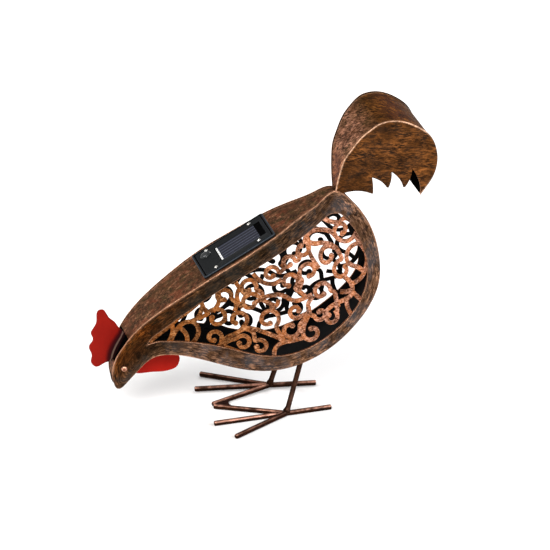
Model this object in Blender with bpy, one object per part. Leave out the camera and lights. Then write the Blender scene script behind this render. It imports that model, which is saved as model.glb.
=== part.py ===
# Garden hen of copper-brushed sheet steel with a solar unit in its back.
# Metres, +Z up. The hen pecks towards -X, its tail is at +X and its left side faces -Y.
# The body's plates are laid out flat, by shares of the body's length along a line from the
# beak's tip to the tail's root and across it, then bowed outwards like the sides of a boat.

import math

import bmesh
import bpy
import numpy as np
from mathutils import Matrix, Vector
from mathutils.geometry import delaunay_2d_cdt

# Sheet and joints
SHEET = 0.001  # thickness of every plate
GAP = 0.0003  # clearance between pieces that touch
PROUD = 0.0008  # how far the side plates' edges stand out from the strips between them

# Facets of the curves
NEAREST = 0.0008  # closer points of an outline are left out
OUTLINE_FACET = 0.020  # longest facet of a plate's outline
RIBBON_FACET = 0.012
LOBE_FACET = 0.010  # longest facet of the comb and the wattle
CURL_STEP = 34  # degrees of turn to a facet of a curl
POINT_WORTH = 0.6e-6  # area by which a point must change a panel's outline to be kept
SMALLEST_HOLE = 1.5e-6
ROD_SIDES = 12

# Body
BODY_LENGTH = 0.2915  # beak's tip to tail's root
BODY_PITCH = math.radians(41.0)  # rise of that line towards the tail
BODY_WIDTH = 0.072  # across the fullest part
BEAK_WIDTH = 0.014
WIDTH_PLACES = (-0.06, 0.0, 0.03, 0.16, 0.33, 0.56, 0.73, 0.82, 0.94, 1.0, 1.06)
WIDTH_SHARES = (-0.02, 0.02, 0.09, 0.46, 0.77, 1.0, 0.88, 0.65, 0.25, 0.01, -0.22)
BEAK_HEIGHT = 0.0335  # of the beak's tip above the ground
BEAK_FORWARD = 0.1642  # from the feet's middle to the beak's tip
PANEL_LAP = 0.004  # how far the scroll panels run on behind the rims
BORDER_SHOWN = 0.0003  # how far their borders show inside the rims
RIBBON = 0.0043  # width of a scroll's ribbon
COMB_WINDOW = (0.055, 0.150)  # stretch of the head's top that is left open for the comb

# Tail
TAIL_REACH = 0.1  # from its root to where it is widest
TAIL_WIDTH = 0.088
TAIL_ROOT_WIDTH = 0.014
TAIL_SPREAD = math.radians(60.0)  # direction in which the tail widens
TAIL_LENGTH = 0.0955
ROOT_RISE = 0.0006  # of the tail's root over the back's end

# Legs and toes
ROD = 0.0052
FOOT_SPACING = 0.0724  # between the middles of the two feet
LEG_LEAN = math.radians(16.7)
TOE_LENGTH = 0.0758
BACK_TOE = 0.0472
TOE_SPREAD = math.radians(29.5)
INNER_TOE_SPREAD = math.radians(33.0)
TOE_OUT = math.radians(6.0)
WELD_LENGTH = 0.013
WELD_HEIGHT = 0.002

# Head
EYE_DIAMETER = 0.0062
EYE_HEIGHT = 0.0026
EYE_PLACE = (0.067, 0.050)

# Solar unit
UNIT_LENGTH = 0.082
UNIT_WIDTH = 0.0585
UNIT_RISE = 0.0022  # above the back
UNIT_PLACE = 0.618  # along the body
UNIT_CORNER = 0.0012
LIP = 0.0022
GROOVE = 0.0013
GROOVE_DEPTH = 0.001
BOX_LENGTH = 0.066
BOX_WIDTH = 0.044
BOX_DEPTH = 0.014
WINDOW_LENGTH = 0.052
WINDOW_WIDTH = 0.032
WINDOW_SHIFT = 0.008
WINDOW_DEPTH = 0.0014
CELL_LENGTH = 0.044
CELL_WIDTH = 0.0305
CELL_THICKNESS = 0.0007
BUTTON_DIAMETER = 0.0118
BUTTON_HEIGHT = 0.0022
BUTTON_PLACE = (-0.341, 0.231)  # shares of the unit's length and width from its middle
SCREW_DIAMETER = 0.0038
SCREW_HEIGHT = 0.0009
SCREW_PLACES = ((-0.311, -0.3795), (0.293, -0.3795), (-0.311, 0.3795), (0.293, 0.3795))

# Outlines as shares of the body's length, along it and across it
BODY_OUTLINE = (
    (0.997, -0.004), (0.937, 0.014), (0.855, 0.035), (0.771, 0.054), (0.690, 0.071),
    (0.611, 0.088), (0.535, 0.105), (0.456, 0.119), (0.375, 0.130), (0.296, 0.138),
    (0.225, 0.139), (0.158, 0.130), (0.104, 0.113), (0.068, 0.097), (0.043, 0.079),
    (0.021, 0.055), (0.007, 0.032), (-0.002, 0.012), (-0.001, 0.001), (0.008, -0.005),
    (0.020, -0.005), (0.042, 0.000), (0.086, 0.010), (0.135, 0.019), (0.170, 0.016),
    (0.213, -0.012),
    (0.257, -0.065), (0.312, -0.157), (0.370, -0.245), (0.444, -0.315), (0.541, -0.362),
    (0.661, -0.386), (0.764, -0.384), (0.837, -0.373), (0.887, -0.352), (0.940, -0.303),
    (0.977, -0.248), (1.000, -0.195), (1.012, -0.140), (1.013, -0.085), (1.010, -0.032),
)
OPENING_OUTLINE = (
    (0.186, 0.070), (0.203, 0.077), (0.250, 0.078), (0.309, 0.076), (0.393, 0.070),
    (0.474, 0.060), (0.551, 0.045), (0.664, 0.017), (0.784, -0.011), (0.889, -0.035),
    (0.935, -0.047), (0.955, -0.070), (0.959, -0.110), (0.953, -0.160), (0.937, -0.212),
    (0.906, -0.270), (0.860, -0.315), (0.790, -0.343), (0.700, -0.350), (0.620, -0.341),
    (0.548, -0.319), (0.487, -0.284), (0.425, -0.217), (0.374, -0.134), (0.330, -0.068),
    (0.285, -0.012), (0.235, 0.038), (0.200, 0.063),
)

# Scrolls of a panel: the points a ribbon passes, then its curl's middle, radius, first angle
# and turn. All lengths are shares of the body's length, in hundredths, and angles in degrees.
SCROLLS = (
    (((80.6, -4.4), (81.3, -3.4), (83.4, -3.0), (85.6, -3.9), (87.8, -6.0), (89.3, -9.2),
      (89.4, -12.8), (91.0, -16.0), (93.3, -16.8), (95.8, -16.6)), None),
    (((89.3, -9.6), (89.5, -11.4)), ((92.1, -11.6), 2.7, 178, -290)),
    (((95.4, -16.3), (94.0, -18.2), (93.4, -21.1), (92.9, -23.9), (91.5, -26.2), (89.4, -27.7),
      (86.6, -28.8), (84.0, -28.5), (81.5, -27.0)), None),
    (((93.5, -20.0), (91.0, -18.6), (88.3, -18.8), (86.6, -20.4), (86.4, -23.0), (87.4, -25.2),
      (87.8, -28.4)), None),
    (((81.3, -4.0), (82.9, -7.3), (85.0, -9.6), (86.6, -13.4), (86.2, -17.2)), ((83.2, -21.3), 3.3, 49, 300)),
    (((86.4, -16.2), (86.5, -13.6)), ((82.9, -13.9), 3.3, 12, 300)),
    (((82.1, -3.2), (82.0, -4.6)), ((78.6, -4.8), 2.7, 349, -280)),
    (((81.6, -4.4), (79.8, -7.0), (78.8, -10.0), (78.1, -14.3)), None),
    (((67.6, -15.4), (69.4, -13.8)), ((74.7, -12.3), 3.4, 186, -310)),
    (((73.6, -29.6), (74.9, -26.9), (76.0, -24.2)), ((73.2, -20.9), 3.2, 319, 310)),
    (((82.0, -23.6), (82.2, -26.8), (81.0, -29.2), (79.1, -30.1), (77.0, -29.5), (74.6, -28.3),
      (72.0, -27.4), (68.4, -27.6)), None),
    (((80.6, -28.4), (80.5, -31.8), (80.8, -35.0)), None),
    (((77.9, -29.2), (76.1, -31.4), (74.6, -36.0)), None),
    (((77.6, -26.2), (79.3, -28.1), (80.6, -29.0)), None),
    (((73.6, -28.0), (71.9, -30.0)), ((69.3, -30.2), 2.5, 9, -280)),
    (((68.0, -18.2), (68.0, -15.4)), ((67.8, -9.8), 3.1, 274, 300)),
    (((54.9, -6.6), (57.9, -7.4), (61.2, -9.4), (63.3, -12.5), (64.4, -15.9), (66.9, -17.9),
      (70.3, -19.2)), None),
    (((52.5, -24.3), (53.2, -21.0)), ((53.9, -14.6), 3.7, 279, 330)),
    (((56.8, -11.8), (59.2, -12.8), (61.1, -11.7)), None),
    (((64.4, -22.6), (61.6, -23.8)), ((56.8, -22.9), 3.3, 334, -310)),
    (((70.2, -20.0), (66.9, -20.8), (64.9, -23.3), (60.6, -25.6)), ((61.1, -29.2), 3.1, 119, 300)),
    (((58.0, -28.6), (54.0, -26.2), (51.0, -24.4), (48.2, -24.6), (45.8, -27.4)), None),
    (((65.0, -23.0), (63.4, -22.4)), ((62.3, -19.4), 2.5, 269, -300)),
    (((19.4, 7.2), (24.9, 7.2), (28.9, 7.2), (32.3, 7.4), (35.8, 7.1), (41.0, 7.2)), None),
    (((29.3, 7.2), (28.0, 5.1), (24.0, 2.6)), None),
    (((24.8, 2.4), (29.7, 4.6), (33.2, 4.5), (34.9, 2.9), (34.8, 0.0), (32.9, -2.1),
      (29.4, -3.3)), None),
    (((30.4, 4.2), (30.4, 1.3), (28.2, -2.3)), None),
    (((34.4, 3.6), (37.0, 2.8)), ((41.7, -1.5), 3.6, 109, -340)),
    (((33.2, -9.9), (36.6, -9.9)), ((36.3, -6.6), 2.6, 309, 280)),
    (((35.2, -11.2), (39.0, -9.6), (43.0, -10.6)), ((46.4, -7.1), 3.3, 274, 285)),
    (((43.0, -10.6), (46.5, -11.7), (48.7, -14.8), (50.3, -18.3), (51.6, -21.5), (52.5, -24.6)),
     None),
    (((59.0, -13.0), (57.6, -9.4)), ((53.7, -5.4), 3.3, 350, 310)),
    (((57.4, -8.0), (58.4, -4.4)), ((56.6, -0.5), 3.0, 299, 310)),
    (((47.7, -3.9), (50.2, -1.2)), ((48.4, 3.0), 2.8, 309, 300)),
    (((50.4, -4.9), (50.9, -1.9), (52.4, 0.2), (54.0, 1.2)), None),
    (((36.6, -11.0), (39.6, -11.2)), ((42.0, -14.9), 2.8, 99, -310)),
    (((46.0, -11.6), (46.8, -15.0)), ((45.2, -20.2), 2.6, 79, -300)),
    (((76.0, -4.2), (75.4, -6.6)), ((72.1, -4.5), 2.4, 329, 300)),
    (((70.0, -3.0), (69.2, -5.0)), ((65.4, -2.9), 2.6, 329, 300)),
    (((61.2, 1.8), (61.0, -0.9), (61.8, -4.0), (64.0, -6.4), (66.8, -7.2)), None),
    (((66.6, -21.6), (65.4, -25.0)), ((67.6, -26.6), 2.2, 149, 290)),
    (((90.6, -2.6), (91.4, -6.0), (93.0, -8.8)), None),
    (((93.4, -9.4), (95.4, -9.6), (96.6, -12.2)), None),
    (((36.6, -11.6), (39.6, -18.6)), None),
    (((41.0, 5.2), (38.7, 3.6), (35.8, 2.9)), None),
    (((41.9, 6.9), (41.1, 4.7), (40.6, 2.3)), None),
    (((48.6, 5.8), (47.1, 3.4), (44.9, 1.9), (42.3, 1.2)), None),
    (((54.9, 4.0), (54.4, 0.9), (54.2, -1.7)), None),
)
CURL_CLOSE = 0.56  # how much smaller a curl is at its free end
CURL_END = 1.3  # width of the round end, in widths of the ribbon

# Tail, from its root, in shares of its length
TAIL_CURVE = (
    (0.008, -0.010), (0.012, 0.100), (0.028, 0.264), (0.061, 0.417), (0.104, 0.504),
    (0.192, 0.655), (0.287, 0.753), (0.384, 0.825), (0.485, 0.851), (0.557, 0.851),
    (0.692, 0.815), (0.798, 0.757), (0.907, 0.664), (0.977, 0.520), (1.000, 0.401),
    (0.995, 0.269), (0.964, 0.148), (0.913, 0.037), (0.863, -0.065),
)
# Feather cuts from the rear: a notch's top, the next feather's point, and how far the edges
# into and out of the notch bow, in shares of their length
FEATHERS = (
    ((0.750, 0.271), (0.700, 0.040), -0.085, 0.066),
    ((0.546, 0.232), (0.535, 0.036), -0.085, 0.053),
    ((0.356, 0.165), (0.388, -0.043), -0.095, 0.020),
)
FEATHER_TIP = 0.019  # width of a feather's blunt point
FOOT_BOW = -0.125
TAIL_FOOT = (0.075, -0.050)  # where the tail's lower edge meets the back
TIP_SHORT = 0.12  # how much of the last stretch to the rear tips the strip leaves free

# Comb and wattle, as shares of the body's length
COMB_OUTLINE = (
    (0.149, 0.142), (0.149, 0.160), (0.152, 0.180), (0.149, 0.205), (0.151, 0.222), (0.155, 0.241),
    (0.141, 0.253),
    (0.124, 0.244), (0.107, 0.226), (0.084, 0.217), (0.067, 0.209), (0.061, 0.193), (0.053, 0.185),
    (0.036, 0.181), (0.026, 0.172), (0.021, 0.157), (0.013, 0.144), (0.001, 0.135), (-0.005, 0.122),
    (0.000, 0.104), (0.014, 0.098), (0.030, 0.094), (0.046, 0.084),
)
WATTLE_OUTLINE = (
    (0.070, 0.006), (0.074, -0.006), (0.114, -0.046), (0.145, -0.075), (0.170, -0.092),
    (0.190, -0.098), (0.208, -0.092), (0.221, -0.080), (0.225, -0.066), (0.222, -0.040),
)

TINY = 1e-6


def material(name, colour, roughness, metallic):
    """One plain finish for a piece."""
    finish = bpy.data.materials.new(name)
    finish.use_nodes = True
    shader = finish.node_tree.nodes["Principled BSDF"]
    shader.inputs["Base Color"].default_value = (*colour, 1.0)
    shader.inputs["Roughness"].default_value = roughness
    shader.inputs["Metallic"].default_value = metallic
    finish.diffuse_color = (*colour, 1.0)
    return finish


def copperBlack(name):
    return material(name, (0.19, 0.095, 0.055), 0.42, 0.75)


def copperBright(name):
    return material(name, (0.52, 0.25, 0.13), 0.40, 0.85)


def darkRod(name):
    return material(name, (0.12, 0.062, 0.040), 0.40, 0.75)


def redPaint(name):
    return material(name, (0.42, 0.025, 0.015), 0.42, 0.0)


def blackPlastic(name):
    return material(name, (0.022, 0.023, 0.025), 0.45, 0.0)


def addObject(name, mesh, finish, parent):
    mesh.materials.append(finish)
    piece = bpy.data.objects.new(name, mesh)
    bpy.context.scene.collection.objects.link(piece)
    piece.parent = parent
    return piece


def meshFrom(name, points, faces):
    """A mesh with its faces turned outwards."""
    mesh = bpy.data.meshes.new(name)
    mesh.from_pydata([tuple(p) for p in points], [], [tuple(f) for f in faces])
    shape = bmesh.new()
    shape.from_mesh(mesh)
    bmesh.ops.recalc_face_normals(shape, faces=shape.faces)
    shape.to_mesh(mesh)
    shape.free()
    return mesh


def spline(points, closed, count):
    """Points evenly spread on the cubic curve through the given ones."""
    knots = np.array(points, float)
    if closed:
        knots = np.vstack([knots, knots[:1]])
    step = np.linalg.norm(np.diff(knots, axis=0), axis=1)
    place = np.concatenate([[0.0], np.cumsum(step)])
    size = len(knots)
    system = np.zeros((size, size))
    right = np.zeros((size, knots.shape[1]))
    slope = np.diff(knots, axis=0) / step[:, None]
    for i in range(1, size - 1):
        system[i, i - 1:i + 2] = step[i - 1], 2 * (step[i - 1] + step[i]), step[i]
        right[i] = 6 * (slope[i] - slope[i - 1])
    if closed:
        system[0, 0], system[0, 1] = 2 * (step[-1] + step[0]), step[0]
        system[0, -2] = step[-1]
        right[0] = 6 * (slope[0] - slope[-1])
        system[-1, 0], system[-1, -1] = 1, -1
    else:
        system[0, 0] = system[-1, -1] = 1
    bend = np.linalg.solve(system, right)
    where = np.linspace(0, place[-1], count, endpoint=not closed)
    k = np.clip(np.searchsorted(place, where, side="right") - 1, 0, size - 2)
    a = ((place[k + 1] - where) / step[k])[:, None]
    b = 1 - a
    h = step[k][:, None]
    return a * knots[k] + b * knots[k + 1] + ((a**3 - a) * bend[k] + (b**3 - b) * bend[k + 1]) * h * h / 6


def thin(points, marks, turn, reach):
    """Positions of the points that a path needs: the marked ones and others by turn and distance."""
    kept = [0]
    bent = 0.0
    for i in range(1, len(points) - 1):
        before = points[i] - points[i - 1]
        after = points[i + 1] - points[i]
        bent += abs(math.atan2(before[0] * after[1] - before[1] * after[0], before @ after))
        near = np.linalg.norm(points[i] - points[kept[-1]]) < NEAREST
        far = np.linalg.norm(points[i + 1] - points[kept[-1]]) > reach
        if near and marks[i] and not marks[kept[-1]] and kept[-1]:
            kept[-1] = i
        elif marks[i] or not near and (bent > turn or far):
            kept.append(i)
            bent = 0.0
    if np.linalg.norm(points[-1] - points[0]) > 2.5 * NEAREST:
        kept.append(len(points) - 1)
    return np.array(kept)


def area(points):
    x, y = np.array(points).T
    return 0.5 * np.sum(x * np.roll(y, -1) - y * np.roll(x, -1))


def offset(points, distance):
    """A closed outline moved inwards by a distance, or outwards where it is negative."""
    forward = np.roll(points, -1, axis=0) - points
    forward /= np.linalg.norm(forward, axis=1)[:, None]
    normal = np.stack([-forward[:, 1], forward[:, 0]], axis=1) * (1 if area(points) > 0 else -1)
    mitre = normal + np.roll(normal, 1, axis=0)
    mitre /= np.sum(mitre * normal, axis=1)[:, None]
    return points + mitre * distance


def inside(points, outline):
    """Which points lie inside a closed outline."""
    x, y = np.array(points).T
    found = np.zeros(len(x), bool)
    for (ax, ay), (bx, by) in zip(outline, np.roll(outline, -1, axis=0)):
        if ay != by:
            crosses = (ay > y) != (by > y)
            found ^= crosses & (x < (bx - ax) * (y - ay) / (by - ay) + ax)
    return found


def flatRegion(keep, drop=(), lines=()):
    """Triangles of the area that the outlines in keep cover and those in drop don't."""
    points = []
    edges = []
    faces = []
    for outline in [*keep, *drop]:
        ordered = outline if area(outline) > 0 else outline[::-1]
        faces.append(list(range(len(points), len(points) + len(ordered))))
        points += [Vector((float(x), float(y))) for x, y in ordered]
    for start, end in lines:
        edges.append((len(points), len(points) + 1))
        points += [Vector(start), Vector(end)]
    found = delaunay_2d_cdt(points, edges, faces, 0, TINY, True)
    coords = np.array([(p.x, p.y) for p in found[0]])
    kept = [
        tuple(face) for face, sources in zip(found[2], found[5])
        if any(s < len(keep) for s in sources) and all(s < len(keep) for s in sources)
    ]
    return coords, kept


def plateMesh(name, region, place, near, far):
    """A flat region given its thickness between two depths, and bent by place(points, depth)."""
    coords, faces = region
    used = sorted({i for face in faces for i in face})
    index = {old: new for new, old in enumerate(used)}
    coords = coords[used]
    faces = [tuple(index[i] for i in face) for face in faces]
    count = len(coords)
    directed = {(f[i], f[(i + 1) % 3]) for f in faces for i in range(3)}
    walls = [(a, a + count, b + count, b) for a, b in directed if (b, a) not in directed]
    back = [tuple(i + count for i in reversed(face)) for face in faces]
    points = np.vstack([place(coords, near), place(coords, far)])
    return meshFrom(name, points, [*faces, *back, *walls])


# The body's frame

AXIS = np.array([math.cos(BODY_PITCH), math.sin(BODY_PITCH)])
ACROSS = np.array([-AXIS[1], AXIS[0]])
BEAK = np.array([-BEAK_FORWARD, BEAK_HEIGHT])
BENDS = np.round(np.arange(-0.055, 1.1, 0.055), 6)


def toProfile(points):
    """Shares along and across the body to X and Z."""
    along, across = np.array(points, float).T[:, :, None]
    return BEAK + BODY_LENGTH * (along * AXIS + across * ACROSS)


def bodyHalf(bends, depth):
    """Half width of the body at each bend, at a depth below the side's face."""
    curve = spline(np.stack([WIDTH_PLACES, WIDTH_SHARES], axis=1), False, 600)
    half = (BEAK_WIDTH + (BODY_WIDTH - BEAK_WIDTH) * np.interp(bends, curve[:, 0], curve[:, 1])) / 2
    slope = np.gradient(half, bends) / BODY_LENGTH
    return half - depth * np.sqrt(1 + slope**2)


def bodySide(profile, depth):
    """Half width of the body at points of the profile: the sides are flat between bends."""
    along = (profile - BEAK) @ AXIS / BODY_LENGTH
    return np.interp(along, BENDS, bodyHalf(BENDS, depth))


def panelSide(profile, depth):
    """Half width at points of the profile for the scroll panels, which bow smoothly."""
    along = (profile - BEAK) @ AXIS / BODY_LENGTH
    bends = np.linspace(BENDS[0], BENDS[-1], 200)
    return np.interp(along, bends, bodyHalf(bends, depth))


def tailSide(profile, depth):
    """Half width of the tail at points of the profile: its sides are flat between bends too."""
    share = (profile - TAIL_ROOT) @ SPREAD / TAIL_REACH
    widening = (TAIL_WIDTH - TAIL_ROOT_WIDTH) / 2
    half = TAIL_ROOT_WIDTH / 2 + widening * TAIL_BENDS * (1.5 - 0.5 * TAIL_BENDS)
    slope = widening * (1.5 - TAIL_BENDS) / TAIL_REACH
    return np.interp(share, TAIL_BENDS, half - depth * np.sqrt(1 + slope**2))


def placeBy(side, hand):
    """Carry points of the profile to one side of the hen: hand is -1 for left, 1 for right."""
    def place(profile, depth):
        half = side(profile, depth)
        return np.stack([profile[:, 0], hand * half, profile[:, 1]], axis=1)
    return place


def placeFlat(profile, depth):
    """Carry points of the profile to a plate that stands on the middle plane."""
    return np.stack([profile[:, 0], np.full(len(profile), depth), profile[:, 1]], axis=1)


def bendLines(origin, along, places, reach):
    """Lines across a plate at its bends."""
    aside = np.array([-along[1], along[0]]) * reach
    return [(origin + along * p - aside, origin + along * p + aside) for p in places]


def withBends(path, origin, along, places, closed):
    """A path with points added where it crosses the bends, and which points those are."""
    share = (path - origin) @ along
    points = []
    marks = []
    last = len(path) if closed else len(path) - 1
    for i in range(len(path)):
        points.append(path[i])
        marks.append(False)
        if i < last:
            a, b = share[i], share[(i + 1) % len(path)]
            crossed = sorted((p - a) / (b - a) for p in places if (a - p) * (b - p) < 0)
            for part in crossed:
                points.append(path[i] + (path[(i + 1) % len(path)] - path[i]) * part)
                marks.append(True)
    return np.array(points), np.array(marks)


BODY_BENDS = BENDS * BODY_LENGTH
bodyDense, bodyMarks = withBends(
    toProfile(spline(BODY_OUTLINE, True, 1200)), BEAK, AXIS,
    np.unique(np.round([*BENDS, *COMB_WINDOW], 6)) * BODY_LENGTH, True)
bodyLoop = bodyDense[thin(bodyDense, bodyMarks, math.radians(13), OUTLINE_FACET)]
stripOuter = offset(bodyLoop, PROUD)
stripInner = offset(bodyLoop, PROUD + SHEET)
aroundStrip = offset(bodyLoop, PROUD - GAP)
openingDense, openingMarks = withBends(
    toProfile(spline(OPENING_OUTLINE, True, 900)), BEAK, AXIS, BODY_BENDS, True)
openingLoop = openingDense[thin(openingDense, openingMarks, math.radians(15), OUTLINE_FACET)]
TAIL_ROOT = bodyLoop[0] + np.array([0.0, ROOT_RISE])
SPREAD = np.array([math.cos(TAIL_SPREAD), math.sin(TAIL_SPREAD)])
TAIL_BENDS = np.arange(-0.2, 1.41, 0.2)


# Scroll panels

def curlPoints(middle, radius, first, turn):
    """A spiral that tightens from its radius towards its free end."""
    count = max(3, int(round(abs(turn) / CURL_STEP)))
    share = np.linspace(0, 1, count + 1)
    angle = np.radians(first + turn * share)
    reach = radius * (1 - CURL_CLOSE * share**1.3)
    return np.array(middle) + np.stack([np.cos(angle), np.sin(angle)], axis=1) * reach[:, None]


def thinned(path, turn, reach):
    return path[thin(path, np.zeros(len(path), bool), turn, reach)]


def ribbonPath(stem, curl):
    """The middle line of one scroll, in profile coordinates."""
    points = np.array(stem, float)
    if curl is None:
        whole = spline(toProfile(points / 100), False, 160)
        return thinned(whole, math.radians(CURL_STEP), RIBBON_FACET)
    spiral = toProfile(curlPoints(*curl) / 100)
    lead = spline(np.vstack([toProfile(points / 100), spiral[:2]]), False, 160)
    arrive = int(np.argmin(np.linalg.norm(lead - spiral[0], axis=1)))
    lead = thinned(lead[:arrive + 1], math.radians(CURL_STEP), RIBBON_FACET)
    return np.vstack([lead, spiral[1:]])


def ribbonQuads(path, width):
    """The four-sided pieces of a ribbon that follows a path."""
    forward = np.gradient(path, axis=0)
    forward /= np.linalg.norm(forward, axis=1)[:, None]
    sideways = np.stack([-forward[:, 1], forward[:, 0]], axis=1) * width / 2
    left = path + sideways
    right = path - sideways
    quads = [np.array([right[i], right[i + 1], left[i + 1], left[i]]) for i in range(len(path) - 1)]
    return [roundOrder(quad) for quad in quads]


def roundOrder(corners):
    """Corners in their order round their middle, so that no sides cross."""
    away = corners - corners.mean(axis=0)
    return corners[np.argsort(np.arctan2(away[:, 1], away[:, 0]))]


def roundEnd(middle, diameter):
    angle = np.arange(8) * math.pi / 4
    return middle + np.stack([np.cos(angle), np.sin(angle)], axis=1) * diameter / 2


def scrollShapes():
    """Every outline whose union is a scroll panel: ribbons, their round ends and a border."""
    shapes = []
    for stem, curl in SCROLLS:
        path = ribbonPath(stem, curl)
        shapes += ribbonQuads(path, RIBBON)
        if curl:
            shapes.append(roundEnd(path[-1], RIBBON * CURL_END))
    outer = offset(openingLoop, -PANEL_LAP)
    inner = offset(openingLoop, BORDER_SHOWN)
    for i in range(len(outer)):
        j = (i + 1) % len(outer)
        shapes.append(np.array([inner[i], inner[j], outer[j], outer[i]]))
    return shapes


def largestPart(region):
    """Drop the loose bits of a region that share no edge with its largest part."""
    coords, faces = region
    owner = {}
    for number, face in enumerate(faces):
        for i in range(3):
            owner.setdefault(frozenset((face[i], face[(i + 1) % 3])), []).append(number)
    parts = []
    free = set(range(len(faces)))
    while free:
        queue = [free.pop()]
        part = []
        while queue:
            number = queue.pop()
            part.append(number)
            face = faces[number]
            for i in range(3):
                for other in owner[frozenset((face[i], face[(i + 1) % 3]))]:
                    if other in free:
                        free.discard(other)
                        queue.append(other)
        parts.append(part)
    sizes = [sum(abs(area(coords[list(faces[n])])) for n in part) for part in parts]
    return coords, [faces[n] for n in parts[int(np.argmax(sizes))]]


def boundaryLoops(region):
    """The closed outlines round a region of triangles."""
    coords, faces = region
    directed = {(f[i], f[(i + 1) % 3]) for f in faces for i in range(3)}
    following = {}
    for a, b in sorted(directed):
        if (b, a) not in directed:
            following.setdefault(a, []).append(b)
    loops = []
    while following:
        start = next(iter(following))
        loop = [start]
        here = following[start].pop()
        while here != start:
            loop.append(here)
            here = following[here].pop()
        following = {a: b for a, b in following.items() if b}
        loops.append(coords[loop])
    return loops


def simpler(loop, smallest):
    """A closed outline without the points that change it by less than a small area."""
    points = [np.array(p) for p in loop]

    def weight(i):
        before, here, after = points[i - 1], points[i], points[(i + 1) % len(points)]
        return abs((here[0] - before[0]) * (after[1] - before[1])
                   - (here[1] - before[1]) * (after[0] - before[0])) / 2

    weights = [weight(i) for i in range(len(points))]
    while len(points) > 4 and min(weights) < smallest:
        i = int(np.argmin(weights))
        del points[i], weights[i]
        for k in (i - 1, i % len(points)):
            weights[k] = weight(k)
    return np.array(points)


def scrollRegion():
    """The panel's flat shape, with no more points than its curls need."""
    loops = boundaryLoops(largestPart(flatRegion(scrollShapes())))
    loops = [simpler(loop, POINT_WORTH) for loop in loops if abs(area(loop)) > SMALLEST_HOLE]
    loops.sort(key=lambda loop: -abs(area(loop)))
    return largestPart(flatRegion(loops[:1], loops[1:]))


def buildBodySides(parent):
    rim = flatRegion([bodyLoop], [openingLoop], bendLines(BEAK, AXIS, BODY_BENDS, 0.2))
    scrolls = scrollRegion()
    for hand, word in ((-1, "left"), (1, "right")):
        plate = plateMesh(f"{word}_side_plate", rim, placeBy(bodySide, hand), 0, SHEET)
        addObject(f"{word}_side_plate", plate, copperBlack(f"{word} plate copper"), parent)
        start = SHEET + GAP
        panel = plateMesh(f"{word}_filigree", scrolls, placeBy(panelSide, hand), start, start + SHEET)
        addObject(f"{word}_filigree", panel, copperBright(f"{word} scroll copper"), parent)


# Strips of sheet between the side plates

def alongLine(line, stations):
    """Points of a path at fractional positions in its list."""
    place = np.arange(len(line))
    return np.stack([np.interp(stations, place, line[:, k]) for k in (0, 1)], axis=1)


def stripMesh(name, outer, inner, side):
    """A strip that follows an open path of the profile from side plate to side plate."""
    depth = SHEET + GAP
    rows = []
    for profile in (outer, inner):
        half = side(profile, depth)
        for hand in (-1, 1):
            rows.append(np.stack([profile[:, 0], hand * half, profile[:, 1]], axis=1))
    points = np.stack([rows[0], rows[1], rows[3], rows[2]], axis=1).reshape(-1, 3)
    count = len(outer)
    faces = [(0, 1, 2, 3), tuple(4 * (count - 1) + i for i in (3, 2, 1, 0))]
    for i in range(count - 1):
        for k in range(4):
            a, b = 4 * i + k, 4 * i + (k + 1) % 4
            faces.append((a, b, b + 4, a + 4))
    return meshFrom(name, points, faces)


def windowEnds():
    """Positions on the body's outline of the comb window's rear and front ends."""
    along = (bodyLoop - BEAK) @ AXIS / BODY_LENGTH
    above = (bodyLoop - BEAK) @ ACROSS / BODY_LENGTH > 0.05
    near = np.where(above, along, 9)
    return int(np.argmin(abs(near - COMB_WINDOW[1]))), int(np.argmin(abs(near - COMB_WINDOW[0])))


def boxMesh(name, size, middle):
    shape = bmesh.new()
    matrix = Matrix.Translation(middle) @ Matrix.Diagonal((*size, 1))
    bmesh.ops.create_cube(shape, size=1.0, matrix=matrix)
    mesh = bpy.data.meshes.new(name)
    shape.to_mesh(mesh)
    shape.free()
    return mesh


def addCutter(name, mesh, parent, matrix=None):
    cutter = bpy.data.objects.new(name, mesh)
    bpy.context.scene.collection.objects.link(cutter)
    cutter.parent = parent
    if matrix is not None:
        cutter.matrix_local = matrix
    cutter.hide_render = True
    cutter.display_type = "WIRE"
    return cutter


def cutBy(piece, cutter):
    cut = piece.modifiers.new(f"cut by {cutter.name}", "BOOLEAN")
    cut.operation = "DIFFERENCE"
    cut.object = cutter


def buildBodyBand(parent, boxCutter):
    rear, front = windowEnds()
    path = np.arange(front, rear + len(bodyLoop) + 1) % len(bodyLoop)
    mesh = stripMesh("body_band", stripOuter[path], stripInner[path], bodySide)
    band = addObject("body_band", mesh, copperBlack("band copper"), parent)
    cutBy(band, boxCutter)


# Tail

def tailPoints(points):
    return TAIL_ROOT + TAIL_LENGTH * np.array(points, float)


def arc(start, end, bow, count):
    """Points between two ends, on a curve that bows sideways by a share of its chord."""
    start, end = np.array(start), np.array(end)
    chord = end - start
    side = np.array([-chord[1], chord[0]])
    share = np.linspace(0, 1, count + 2)[1:-1, None]
    return list(start + chord * share + side * 4 * bow * share * (1 - share))


def featherEdge():
    """The tail's lower edge from the rear tip back to the root: notches and blunt points."""
    edge = []
    here = np.array(TAIL_CURVE[-1])
    for notch, point, bowIn, bowOut in FEATHERS:
        edge += arc(here, notch, bowIn, 3) + [np.array(notch)]
        edge += arc(notch, point, bowOut, 2) + [np.array(point)]
        here = np.array(point) - (FEATHER_TIP, 0)
        edge.append(here)
    edge += arc(here, TAIL_FOOT, FOOT_BOW, 4) + [np.array(TAIL_FOOT)]
    return tailPoints(edge)


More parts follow.
